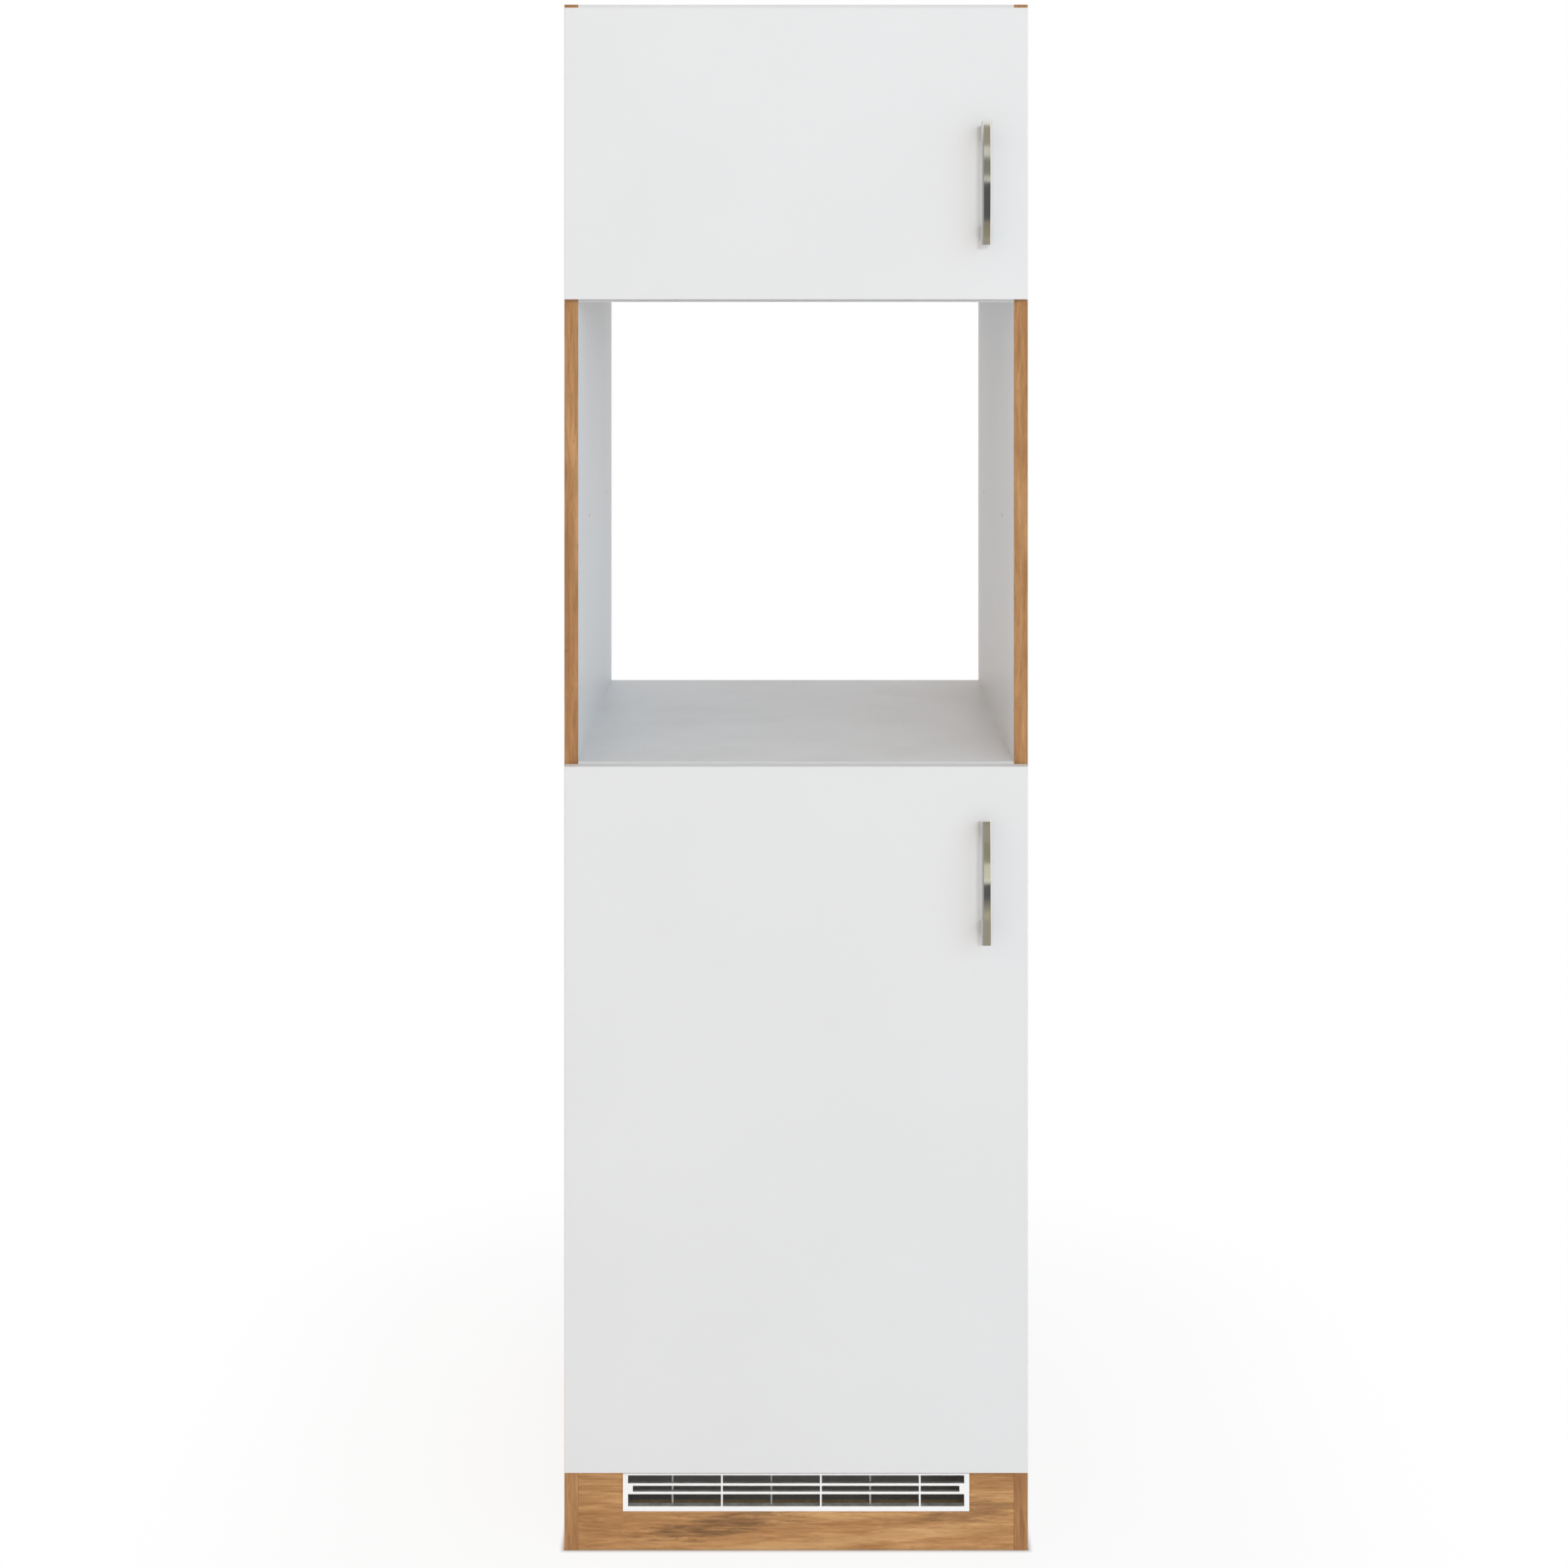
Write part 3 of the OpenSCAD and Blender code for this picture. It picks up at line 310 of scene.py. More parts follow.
# %% Effect: worn edges
edge_wear, given, out = new_effect(
    "edge_wear", {"Place": ("Vector", None), "Width": ("Float", 0.0006)}, {"Mask": ("Float", None)})
tree = edge_wear
rounded = box_of(tree, "Bevel", {"samples": 4}, Radius=given["Width"]).outputs[0]
alike = box_of(tree, "VectorMath", {"operation": "DOT_PRODUCT"})
wire(tree, rounded, alike.inputs[0])
wire(tree, box_of(tree, "NewGeometry").outputs["Normal"], alike.inputs[1])
edge = between(tree, alike.outputs["Value"], 0.80, 0.98, 1.0, 0.0)
patches = between(tree, noise(tree, given["Place"], 180.0, 3.0), 0.35, 0.65, 0.35, 1.0)
wire(tree, calc(tree, "MULTIPLY", edge, patches), out["Mask"])

# %% Effect: settled dust
settled_dust, given, out = new_effect(
    "settled_dust", {"Place": ("Vector", None), "Facing": ("Vector", None)}, {"Mask": ("Float", None)})
tree = settled_dust
up = between(tree, split(tree, given["Facing"])[2], 0.6, 0.95)
drifts = between(tree, noise(tree, given["Place"], 7.0, 6.0, 0.6), 0.35, 0.75)
wire(tree, calc(tree, "MULTIPLY", up, drifts), out["Mask"])
print("effects:", [group.name for group in bpy.data.node_groups])

# %% [markdown]
# ## Finish: oak decor
# The colours come from the picture: honey brown in the light, walnut brown in the streaks. The shader
# mixes them by streak and flame, then darkens pores, specks and knots. Real decor is embossed along its
# pores, so the same mask feeds the bump and makes them a little duller.

# %% Oak colours
OAK_LIGHT = rgb(213, 165, 110)
OAK_MIDDLE = rgb(190, 140, 89)
OAK_DARK = rgb(166, 116, 69)
OAK_FLAME = rgb(142, 101, 61)
OAK_KNOT = rgb(96, 66, 42)
PORE_DEPTH = 0.00012
MIDDLE_TONE = 0.49          # what clouds and streaks together are on average


def oak_colour(tree, place, curve, flame_share, rise=3.1, draw=(1.0, 1.0, 1.0), spread=0.13):
    """The colour of oak decor at a place whose X runs along the grain, and its figure's masks."""
    figure = use_effect(tree, oak_figure, Place=place, Flame_Curve=curve, Flame_Rise=rise, Draw=draw)
    tone = calc(tree, "MULTIPLY_ADD", figure["Cloud"], 0.55, calc(tree, "MULTIPLY", figure["Streak"], 0.45))
    colour = ramp(tree, tone, (MIDDLE_TONE - spread, OAK_DARK), (MIDDLE_TONE, OAK_MIDDLE),
                  (MIDDLE_TONE + spread, OAK_LIGHT))
    gaps = between(tree, figure["Streak"], 0.35, 0.6, 1.0, 0.35)
    torn_flame = calc(tree, "MULTIPLY", figure["Flame"], gaps)
    colour = blend(tree, calc(tree, "MULTIPLY", torn_flame, flame_share), colour, OAK_FLAME)
    fibre = between(tree, figure["Fibre"], 0.3, 0.7, 0.93, 1.04)
    colour = blend(tree, 1.0, colour, grey_shade(tree, fibre), "MULTIPLY")
    for mark, share, wood in (("Pore", 0.28, OAK_KNOT), ("Speck", 0.42, OAK_FLAME), ("Knot", 0.6, OAK_KNOT)):
        colour = blend(tree, calc(tree, "MULTIPLY", figure[mark], share), colour, wood)
    return colour, figure


def oak_relief(tree, shader, figure):
    wire(tree, between(tree, figure["Pore"], 0.0, 1.0, 0.46, 0.62), shader["Roughness"])
    grooves = calc(tree, "SUBTRACT", calc(tree, "MULTIPLY", figure["Fibre"], 0.4), figure["Pore"])
    bump(tree, shader, grooves, PORE_DEPTH, 0.6)


def along_z(tree):
    """The piece's own place, turned so that X runs up the piece."""
    x, y, z = split(tree, own_place(tree))
    return box_of(tree, "CombineXYZ", None, X=z, Y=y, Z=x).outputs[0]


# %% Oak on the edge bands, with the grain upright
BAND_TINT = (0.85, 0.83, 0.84, 1.0)     # bands are printed a little darker than boards
oak_band, tree, shader = new_finish("oak_edge_band", Specular_IOR_Level=0.35)
colour, figure = oak_colour(tree, stretched(tree, along_z(tree), (1.0, 1.0, 1.3)), 60.0, 0.2)
wire(tree, blend(tree, 1.0, colour, BAND_TINT, "MULTIPLY"), shader["Base Color"])
oak_relief(tree, shader, figure)
dress(oak_band, "side_band_left", "side_band_right")

# %% [markdown]
# ## Finish: side panels
# A side panel wears three finishes: oak decor outside, white melamine inside, and raw chipboard on
# its sawn rear, top and bottom edges and inside its bores. Three materials on one board would need its
# faces sorted by hand. One material that asks where a point lies and where it faces needs nothing.

# %% White melamine colour and the side panels' three finishes
WHITE_BOARD, WHITE_DUST = rgb(228, 228, 228), rgb(206, 204, 199)
PEEL_DEPTH = 0.00004
SAWN_ROUGHNESS, BOARD_ROUGHNESS = 0.86, 0.48
HAIR = 0.0003
OUTSIDE = cad_high.x - 0.0005           # beyond this distance from the middle lies the oak
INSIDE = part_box("niche_floor")[1].x + HAIR      # nearer than this lie the white faces


def white_colour(tree, place, base, dust_and_shade):
    peel = use_effect(tree, fine_peel, Place=place)
    tone = between(tree, peel["Tone"], 0.3, 0.7, 0.985, 1.01)
    colour = blend(tree, 1.0, base, grey_shade(tree, tone), "MULTIPLY")
    dust = use_effect(tree, settled_dust, Place=place, Facing=own_facing(tree))
    return blend(tree, calc(tree, "MULTIPLY", dust["Mask"], dust_and_shade), colour, WHITE_DUST), peel


side_finish, tree, shader = new_finish("oak_and_white_side", Specular_IOR_Level=0.4)
place = own_place(tree)
facing = calc(tree, "ABSOLUTE", split(tree, own_facing(tree))[0])
is_face = calc(tree, "GREATER_THAN", facing, 0.5)
from_middle = calc(tree, "ABSOLUTE", split(tree, place)[0])
is_oak = calc(tree, "MULTIPLY", is_face, calc(tree, "GREATER_THAN", from_middle, OUTSIDE))
is_white = calc(tree, "MULTIPLY", is_face, calc(tree, "LESS_THAN", from_middle, INSIDE))
SIDE_DRAW = (0.22, 0.7, 0.7)            # the clouds and streaks of a wide board are drawn out longer
oak, figure = oak_colour(tree, along_z(tree), 150.0, 0.45, 9.0, SIDE_DRAW)
white, peel = white_colour(tree, place, WHITE_BOARD, 0.0)
chips = use_effect(tree, chipboard, Place=place, Chips=(700.0, 300.0, 260.0))
colour = blend(tree, is_white, blend(tree, is_oak, chips["Colour"], oak), white)
wire(tree, colour, shader["Base Color"])
oak_height = calc(tree, "MULTIPLY", calc(tree, "SUBTRACT", 1.0, figure["Pore"]), is_oak)
bump(tree, shader, oak_height, PORE_DEPTH, 0.5)
coated = calc(tree, "ADD", is_oak, is_white)
roughness = calc(tree, "MULTIPLY_ADD", coated, BOARD_ROUGHNESS - SAWN_ROUGHNESS, SAWN_ROUGHNESS)
wire(tree, roughness, shader["Roughness"])
dress(side_finish, "side_panel_left", "side_panel_right")

# %% [markdown]
# ## Finish: oak plinth
# On the plinth the grain runs sideways. The picture shows a dark flame a little left of the middle and
# another near the right end. Leaving them to chance would put them anywhere, so two ovals, torn into
# streaks by noise, say where the dark wood gathers, at the places read off the picture. Behind, the
# plinth has brown backing paper, and its sawn edges show their chips under a painted shade, also through the
# grille.

# %% Oak on the plinth
def from_picture(pixel_x, pixel_y):
    """A pixel in the plane of the side panels' fronts, as metres across and up."""
    return ((pixel_x - CABINET_MIDDLE[0]) / PIXELS_PER_METRE,
            (CABINET_MIDDLE[1] - pixel_y) / PIXELS_PER_METRE)


DARK_WOOD, PALE_WOOD = rgb(118, 83, 50), rgb(222, 176, 121)
BACKING_PAPER, SAWN_PAINTED_SHADE = rgb(150, 118, 84), rgb(84, 72, 56)
GRAIN_START = 1.37      # where on the endless decor the plinth is cut
TEAR = 5.6              # how far noise tears the ovals
SLOPE = 0.10            # the ovals rise to the right
FLAMES = (((990, 1850), (0.240, 0.010), 0.6, PALE_WOOD), ((868, 1829), (0.100, 0.017), 0.95, DARK_WOOD),
          ((1165, 1812), (0.070, 0.018), 0.7, DARK_WOOD))

oak_plinth, tree, shader = new_finish("oak_plinth", Specular_IOR_Level=0.35)
x, y, z = split(tree, own_place(tree))
along_x = box_of(tree, "CombineXYZ", None, X=x, Y=calc(tree, "ADD", z, GRAIN_START), Z=y).outputs[0]
colour, figure = oak_colour(tree, along_x, 4.0, 0.12, spread=0.10)
torn = noise(tree, stretched(tree, along_x, (16.0, 130.0, 40.0)), 1.0, 6.0, 0.72)
thin = noise(tree, stretched(tree, along_x, (30.0, 360.0, 40.0)), 1.0, 4.0, 0.65)
colour = blend(tree, between(tree, thin, 0.54, 0.70, 0.0, 0.30), colour, OAK_FLAME)
for pixel, (half_long, half_high), depth, wood in FLAMES:
    middle_x, middle_z = from_picture(*pixel)
    side = calc(tree, "POWER", calc(tree, "DIVIDE", calc(tree, "SUBTRACT", x, middle_x), half_long), 2.0)
    rise = calc(tree, "SUBTRACT", z, middle_z)
    rise = calc(tree, "SUBTRACT", rise, calc(tree, "MULTIPLY", calc(tree, "SUBTRACT", x, middle_x), SLOPE))
    high = calc(tree, "POWER", calc(tree, "DIVIDE", rise, half_high), 2.0)
    tear = calc(tree, "MULTIPLY_ADD", torn, TEAR, -TEAR / 2)
    reach = calc(tree, "ADD", calc(tree, "ADD", side, high), tear)
    shade = calc(tree, "MULTIPLY", between(tree, reach, 0.0, 1.3, 1.0, 0.0), depth)
    shade = calc(tree, "MULTIPLY", shade, between(tree, thin, 0.35, 0.65, 0.55, 1.0))
    colour = blend(tree, shade, colour, wood)
facing = split(tree, own_facing(tree))[1]
is_edge = calc(tree, "LESS_THAN", calc(tree, "ABSOLUTE", facing), 0.5)
is_back = calc(tree, "GREATER_THAN", facing, 0.5)
colour = blend(tree, is_back, colour, BACKING_PAPER)
chips = use_effect(tree, chipboard, Place=own_place(tree), Chips=(260.0, 700.0, 300.0))
# painted shade: the sawn edges are darkened almost halfway to a dark brown
sawn = blend(tree, 0.45, chips["Colour"], SAWN_PAINTED_SHADE)
wire(tree, blend(tree, is_edge, colour, sawn), shader["Base Color"])
oak_relief(tree, shader, figure)
dress(oak_plinth, "plinth_board")

# %% [markdown]
# ## Finish: white boards
# The shelves of the carcass are white melamine on both faces, with white bands in front and sawn edges
# behind. As on the side panels, one material tells faces from edges by where they look; only the
# direction differs between a lying board and the upright rail.

# %% White boards, lying and upright
def white_board(name, axis, chip_sizes):
    finish, tree, shader = new_finish(name, Specular_IOR_Level=0.4)
    place = own_place(tree)
    facing = calc(tree, "ABSOLUTE", split(tree, own_facing(tree))[axis])
    is_face = calc(tree, "GREATER_THAN", facing, 0.5)
    white, peel = white_colour(tree, place, WHITE_BOARD, 0.35)
    chips = use_effect(tree, chipboard, Place=place, Chips=chip_sizes)
    wire(tree, blend(tree, is_face, chips["Colour"], white), shader["Base Color"])
    wire(tree, calc(tree, "MULTIPLY_ADD", is_face, BOARD_ROUGHNESS - SAWN_ROUGHNESS, SAWN_ROUGHNESS),
         shader["Roughness"])
    bump(tree, shader, peel["Height"], PEEL_DEPTH, 0.5)
    return finish


dress(white_board("white_lying_board", 2, (260.0, 300.0, 700.0)),
      "top_panel", "niche_ceiling", "niche_floor", "bottom_panel")
dress(white_board("white_upright_board", 1, (260.0, 700.0, 300.0)), "rear_rail")

# %% [markdown]
# ## Finish: white edge bands
# The front edge of each white board wears a thin plastic band, ironed on and trimmed. It is a shade whiter
# and glossier than the board. The board's material could ask for its front edge too, but the band is a
# piece of its own here, as on the real cabinet, and so it gets a finish of its own.

# %% White edge bands
BAND_WHITE = rgb(232, 232, 231)
band_finish, tree, shader = new_finish("white_edge_band", Specular_IOR_Level=0.45)
white, peel = white_colour(tree, own_place(tree), BAND_WHITE, 0.0)
wire(tree, white, shader["Base Color"])
wire(tree, between(tree, peel["Height"], 0.3, 0.7, 0.38, 0.5), shader["Roughness"])
bump(tree, shader, peel["Height"], PEEL_DEPTH, 0.4)
dress(band_finish, "panel_bands")

# %% [markdown]
# ## Finish: hardboard back
# The back is 3 mm hardboard: painted white in front and bare behind, where pressed wood felt shows, evenly
# brown with faint clouds. An even brown would look like card. Fine noise for the felt, with a little
# coarse noise for the clouds, gives both, and the side to paint is told by where it faces.

# %% Hardboard back, white in front and brown behind
FELT_DEPTH, FELT_ROUGHNESS = 0.0001, 0.88
hardboard, tree, shader = new_finish("white_hardboard", Specular_IOR_Level=0.3)
place = own_place(tree)
is_front = calc(tree, "LESS_THAN", split(tree, own_facing(tree))[1], -0.5)
white, peel = white_colour(tree, place, WHITE_BOARD, 0.0)
felt = noise(tree, stretched(tree, place, (420.0, 420.0, 420.0)), 1.0, 5.0, 0.7)
spots = noise(tree, place, 24.0, 5.0, 0.6)
brown = ramp(tree, calc(tree, "MULTIPLY_ADD", spots, 0.2, calc(tree, "MULTIPLY", felt, 0.8)),
             (0.36, rgb(124, 88, 58)), (0.5, rgb(147, 108, 73)), (0.64, rgb(168, 129, 92)))
wire(tree, blend(tree, is_front, brown, white), shader["Base Color"])
wire(tree, calc(tree, "MULTIPLY_ADD", is_front, BOARD_ROUGHNESS - FELT_ROUGHNESS, FELT_ROUGHNESS),
     shader["Roughness"])
bump(tree, shader, calc(tree, "ADD", felt, peel["Height"]), FELT_DEPTH, 0.6)
dress(hardboard, "back_panel")

# %% [markdown]
# ## Finish: doors
# The doors are plain matt white, the lightest grey of the picture. Matt foil is not dead flat: its sheen
# changes a little over a few centimetres, and a shallow peel breaks up what it mirrors.
# Both come from one group, so the doors, boards and grille look like one family.

# %% Matt white doors
DOOR_WHITE = rgb(229, 229, 229)
FOIL_DEPTH = 0.00003
door_finish, tree, shader = new_finish("matt_white_front", Specular_IOR_Level=0.4)
place = own_place(tree)
peel = use_effect(tree, fine_peel, Place=place, Fineness=1300.0)
tone = between(tree, peel["Tone"], 0.3, 0.7, 0.992, 1.006)
wire(tree, blend(tree, 1.0, DOOR_WHITE, grey_shade(tree, tone), "MULTIPLY"), shader["Base Color"])
wire(tree, between(tree, peel["Tone"], 0.2, 0.8, 0.44, 0.54), shader["Roughness"])
bump(tree, shader, peel["Height"], FOIL_DEPTH, 0.35)
dress(door_finish, "upper_door_panel", "lower_door_panel")

# %% [markdown]
# ## Finish: moulded plastic
# The grille is bright white in front, but its louvres look grey from above and its rear ribs hardly show:
# a grey for the dust that the fridge's air draws in and for shade is painted on all that looks up and on
# all that lies deep. Painting the louvres grey would be wrong from the front. One mask for facing up and
# one for depth put this painted dust and shade in place. The brackets behind the plinth are of the same
# plastic.

# %% Moulded white plastic
GRILLE_DUST_AND_SHADE = rgb(136, 134, 125)
DUST_AND_SHADE_DEPTH = (0.0026, 0.0050)           # from the grille's face, where its painted dust and shade begins and where it is full


def moulded_plastic(name, dust_and_shade):
    finish, tree, shader = new_finish(name, Specular_IOR_Level=0.5)
    place = own_place(tree)
    peel = use_effect(tree, fine_peel, Place=place, Fineness=2200.0)
    worn = use_effect(tree, edge_wear, Place=place, Width=0.0005)
    tone = blend(tree, between(tree, peel["Tone"], 0.3, 0.7), rgb(249, 249, 247), rgb(252, 252, 251))
    tone = blend(tree, worn["Mask"], tone, rgb(253, 253, 253))
    if dust_and_shade:
        # painted dust and shade: parts that look up or lie deep turn grey
        depth = calc(tree, "SUBTRACT", split(tree, place)[1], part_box("vent_grille")[0].y)
        lying = between(tree, split(tree, own_facing(tree))[2], 0.5, 0.9)
        grey = calc(tree, "MAXIMUM", lying, between(tree, depth, *DUST_AND_SHADE_DEPTH))
        patches = between(tree, noise(tree, place, 60.0, 4.0, 0.6), 0.3, 0.7, 0.75, 1.0)
        tone = blend(tree, calc(tree, "MULTIPLY", grey, patches), tone, GRILLE_DUST_AND_SHADE)
    wire(tree, tone, shader["Base Color"])
    wire(tree, between(tree, peel["Height"], 0.3, 0.7, 0.30, 0.42), shader["Roughness"])
    bump(tree, shader, peel["Height"], FOIL_DEPTH, 0.4)
    return finish


dress(moulded_plastic("grille_plastic_dust_and_shade", True), "vent_grille")
dress(moulded_plastic("moulded_white_plastic", False), "plinth_brackets")

# %% [markdown]
# ## Finish: clear bumpers
# Each door lands on two small round pads of clear soft plastic. Full glass would look hard and wet, so most
# of the light goes through and the rest shows a milky haze, which fine noise makes uneven.

# %% Soft clear bumpers
bumper, tree, shader = new_finish("clear_bumper", Transmission_Weight=0.75, IOR=1.48)
haze = noise(tree, own_place(tree), 900.0, 3.0)
wire(tree, blend(tree, haze, rgb(226, 228, 226), rgb(246, 247, 246)), shader["Base Color"])
wire(tree, between(tree, haze, 0.3, 0.7, 0.22, 0.36), shader["Roughness"])
dress(bumper, "upper_door_bumpers", "lower_door_bumpers")

# %% [markdown]
# ## Finishes: metals
# Four metals differ in colour and in how they were made. The handles are chromed and nearly mirror; the
# hinges are nickelled sheet with faint rolling lines; the screws are bright zinc; the cam locks
# are cast and grainy. One function with five numbers makes them all, because the difference
# between metals is mostly gloss, tint and the size of their marks.

# %% One recipe for the metals
DULL, BRIGHT = 0.93, 1.15       # shares of a metal's tint where it is smeared and where it is worn


def metal(name, tint, gloss, mark_stretch, mark_depth, wear):
    """A metal: gloss is its lowest and highest roughness, marks are rolled, brushed or cast."""
    finish, tree, shader = new_finish(name, Metallic=1.0)
    place = own_place(tree)
    marks = noise(tree, stretched(tree, place, mark_stretch), 1.0, 4.0, 0.6)
    smear = noise(tree, place, 60.0, 4.0, 0.6)
    dull = tuple(part * DULL for part in tint[:3]) + (1.0,)
    colour = blend(tree, smear, dull, tint)
    worn = use_effect(tree, edge_wear, Place=place, Width=wear)
    bright = tuple(min(1.0, part * BRIGHT) for part in tint[:3]) + (1.0,)
    wire(tree, blend(tree, worn["Mask"], colour, bright), shader["Base Color"])
    share = calc(tree, "MULTIPLY_ADD", smear, 0.5, calc(tree, "MULTIPLY", marks, 0.5))
    wire(tree, between(tree, share, 0.3, 0.7, gloss[0], gloss[1]), shader["Roughness"])
    bump(tree, shader, marks, mark_depth, 0.5)
    return finish


def on_both_doors(*pieces):
    return [f"{door}_{piece}" for piece in pieces for door in ("upper", "lower")]


chrome = metal("chromed_handle", rgb(226, 224, 218), (0.04, 0.09), (300.0, 300.0, 40.0), 0.000004, 0.0004)
nickel = metal("nickelled_hinge", rgb(216, 213, 206), (0.26, 0.34), (120.0, 30.0, 900.0), 0.00001, 0.0004)
bright_zinc = metal("zinc_plated_screw", rgb(205, 208, 210), (0.24, 0.40), (900.0,) * 3, 0.00001, 0.0003)
cast_zinc = metal("cast_cam_lock", rgb(168, 170, 172), (0.42, 0.60), (700.0,) * 3, 0.00004, 0.0005)
dress(nickel, *on_both_doors("hinge_cups", "hinge_arms", "hinge_plates"), "wall_brackets")
dress(bright_zinc, "plinth_bracket_screws", "cam_bolts", "wall_bracket_screws",
      *on_both_doors("handle_screws", "cup_screws", "hinge_pins", "plate_screws", "arm_screws"))
dress(cast_zinc, "cam_locks")

# %% [markdown]
# ## Finish: beech dowels
# The dowels are beech, whose mark is short darker flecks along the grain. They sit inside the boards and
# show only when the model is taken apart, so one stretched noise does for colour and bump.

# %% Beech dowels
FLECK_DEPTH = 0.00008
beech, tree, shader = new_finish("beech_dowel", Specular_IOR_Level=0.3, Roughness=0.7)
flecks = noise(tree, stretched(tree, own_place(tree), (160.0, 2200.0, 2200.0)), 1.0, 2.0)
wire(tree, ramp(tree, flecks, (0.35, rgb(190, 148, 98)), (0.6, rgb(222, 186, 136))), shader["Base Color"])
bump(tree, shader, flecks, FLECK_DEPTH, 0.5)
dress(beech, "dowels")

# %% [markdown]
# ## Rounded edges
# No real edge is sharp: a board's arris is broken with a touch of sandpaper, and moulded and
# stamped parts come out of their tools rounded. The measured model leaves most of them sharp. A bevel
# modifier adds the rounding without touching the measured mesh, and the light line that it catches
# makes each board readable.

# %% Round the edges of the measured pieces
SAME_POINT = 0.000002       # points nearer to each other than this are one


def soften(piece, width, steps=2, angle=45.0):
    weld = piece.modifiers.new("weld", "WELD")
    weld.merge_threshold = SAME_POINT
    rounding = piece.modifiers.new("edge_rounding", "BEVEL")
    rounding.width, rounding.segments = width, steps
    rounding.limit_method, rounding.angle_limit = "ANGLE", math.radians(angle)
    even = piece.modifiers.new("even_shading", "WEIGHTED_NORMAL")
    even.keep_sharp = False


ROUNDINGS = {
    0.0005: ("upper_door_panel", "lower_door_panel"),
    0.0003: ("side_panel_left", "side_panel_right", "side_band_left", "side_band_right", "top_panel",
             "niche_ceiling", "niche_floor", "bottom_panel", "panel_bands", "rear_rail", "plinth_board",
             "vent_grille", "plinth_brackets"),
    0.0002: ("upper_hinge_arms", "lower_hinge_arms", "upper_hinge_plates", "lower_hinge_plates",
             "wall_brackets"),
}
for width, names in ROUNDINGS.items():
    for name in names:
        soften(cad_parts[name], width)
print("rounded edges on", sum(len(names) for names in ROUNDINGS.values()), "pieces")

# %% [markdown]
# ## The bow handles
# Each handle is a cast bar that bows gently away from the door, on two legs of its own width. Its front is
# flat and narrow, and its flanks roll away, which is why it shows a dark stripe between two light
# ones. The bar could be a curve with a profile, but then the legs would only be pushed into it. Here a
# ring of points is carried along the bow, and the faces behind each leg are drawn out to the door, so
# bar and legs are one skin.

# %% The ring of points across the bar
BAR = 0.006                 # thickness of the bar
FLAT_HALF = 0.0037          # half width of its flat front
FLANK_DEEP = 0.0034         # how far back the rolled flanks reach
BACK_ROUND = 0.0008
FLANK_STEPS, BACK_STEPS = 10, 4


def bar_ring(half_width):
    """Points across the bar: across, and depth behind its front."""
    half = []
    for step in range(FLANK_STEPS + 1):
        turn = math.pi / 2 * step / FLANK_STEPS
        half.append((FLAT_HALF + (half_width - FLAT_HALF) * math.sin(turn),
                     FLANK_DEEP * (1 - math.cos(turn))))
    for step in range(BACK_STEPS + 1):
        turn = math.pi / 2 * step / BACK_STEPS
        half.append((half_width - BACK_ROUND * (1 - math.cos(turn)),
                     BAR - BACK_ROUND * (1 - math.sin(turn))))
    return half + [(-across, depth) for across, depth in reversed(half)]


print("points across the bar:", 2 * (FLANK_STEPS + BACK_STEPS + 2))


# %% Carry the ring along the bow and draw out the legs
BOW_RISE = 0.005            # how far the middle stands out beyond the ends
LEG_HALF = 0.009            # half height of a leg
LEG_SPAN = 0.128            # between the legs' middles, as between the screws
STATIONS = (3, 8, 44, 8, 3)     # steps along the ends, the legs and the middle
HANDLE_ROUNDING = 0.0007


def bow_stations(half_length, radius):
    """Angles along the bow, with stations at both sides of each leg."""
    inner = [math.asin(z / (radius - BAR)) for z in
             (LEG_SPAN / 2 - LEG_HALF, LEG_SPAN / 2 + LEG_HALF)]
    marks = [-math.asin(half_length / radius), -inner[1], -inner[0], inner[0], inner[1],
             math.asin(half_length / radius)]
    angles = [marks[0]]
    for first, last, count in zip(marks, marks[1:], STATIONS):
        angles += [first + (last - first) * (step + 1) / count for step in range(count)]
    return angles


def make_handle(name, node, body):
    low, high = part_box(node)
    middle = (low + high) / 2
    half_length, half_width = (high.z - low.z) / 2, (high.x - low.x) / 2
    radius = (half_length ** 2 + BOW_RISE ** 2) / (2 * BOW_RISE)
    ring = bar_ring(half_width)
    angles = bow_stations(half_length, radius)
    mesh = bmesh.new()
    rings = [[mesh.verts.new((middle.x + across, low.y + radius - (radius - depth) * math.cos(angle),
                              middle.z + (radius - depth) * math.sin(angle)))
              for across, depth in ring] for angle in angles]
    strips = []
    for lower, upper in zip(rings, rings[1:]):
        strips.append([mesh.faces.new((lower[i], lower[(i + 1) % len(ring)],
                                       upper[(i + 1) % len(ring)], upper[i])) for i in range(len(ring))])
    mesh.faces.new(list(reversed(rings[0])))
    mesh.faces.new(rings[-1])
    back = range(FLANK_STEPS + 1, len(ring) - FLANK_STEPS - 2)
    for start in (STATIONS[0], sum(STATIONS[:3])):
        chosen = [strips[row][i] for row in range(start, start + STATIONS[1]) for i in back]
        grown = bmesh.ops.extrude_face_region(mesh, geom=chosen)["geom"]
        bmesh.ops.delete(mesh, geom=chosen, context="FACES")
        for part in grown:
            if isinstance(part, bmesh.types.BMVert):
                part.co.y = high.y
    bmesh.ops.recalc_face_normals(mesh, faces=mesh.faces)
    data = bpy.data.meshes.new(name)
    mesh.to_mesh(data)
    mesh.free()
    for face in data.polygons:
        face.use_smooth = True
    data.materials.append(chrome)
    piece = bpy.data.objects.new(name, data)
    bpy.context.scene.collection.objects.link(piece)
    soften(piece, HANDLE_ROUNDING, 3, 50.0)
    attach(piece, body)
    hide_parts(node)
    print(name, len(data.polygons), "faces,", round(2000 * half_length), "mm long")


make_handle("upper_bow_handle", "upper_handle", "upper_door")
make_handle("lower_bow_handle", "lower_handle", "lower_door")
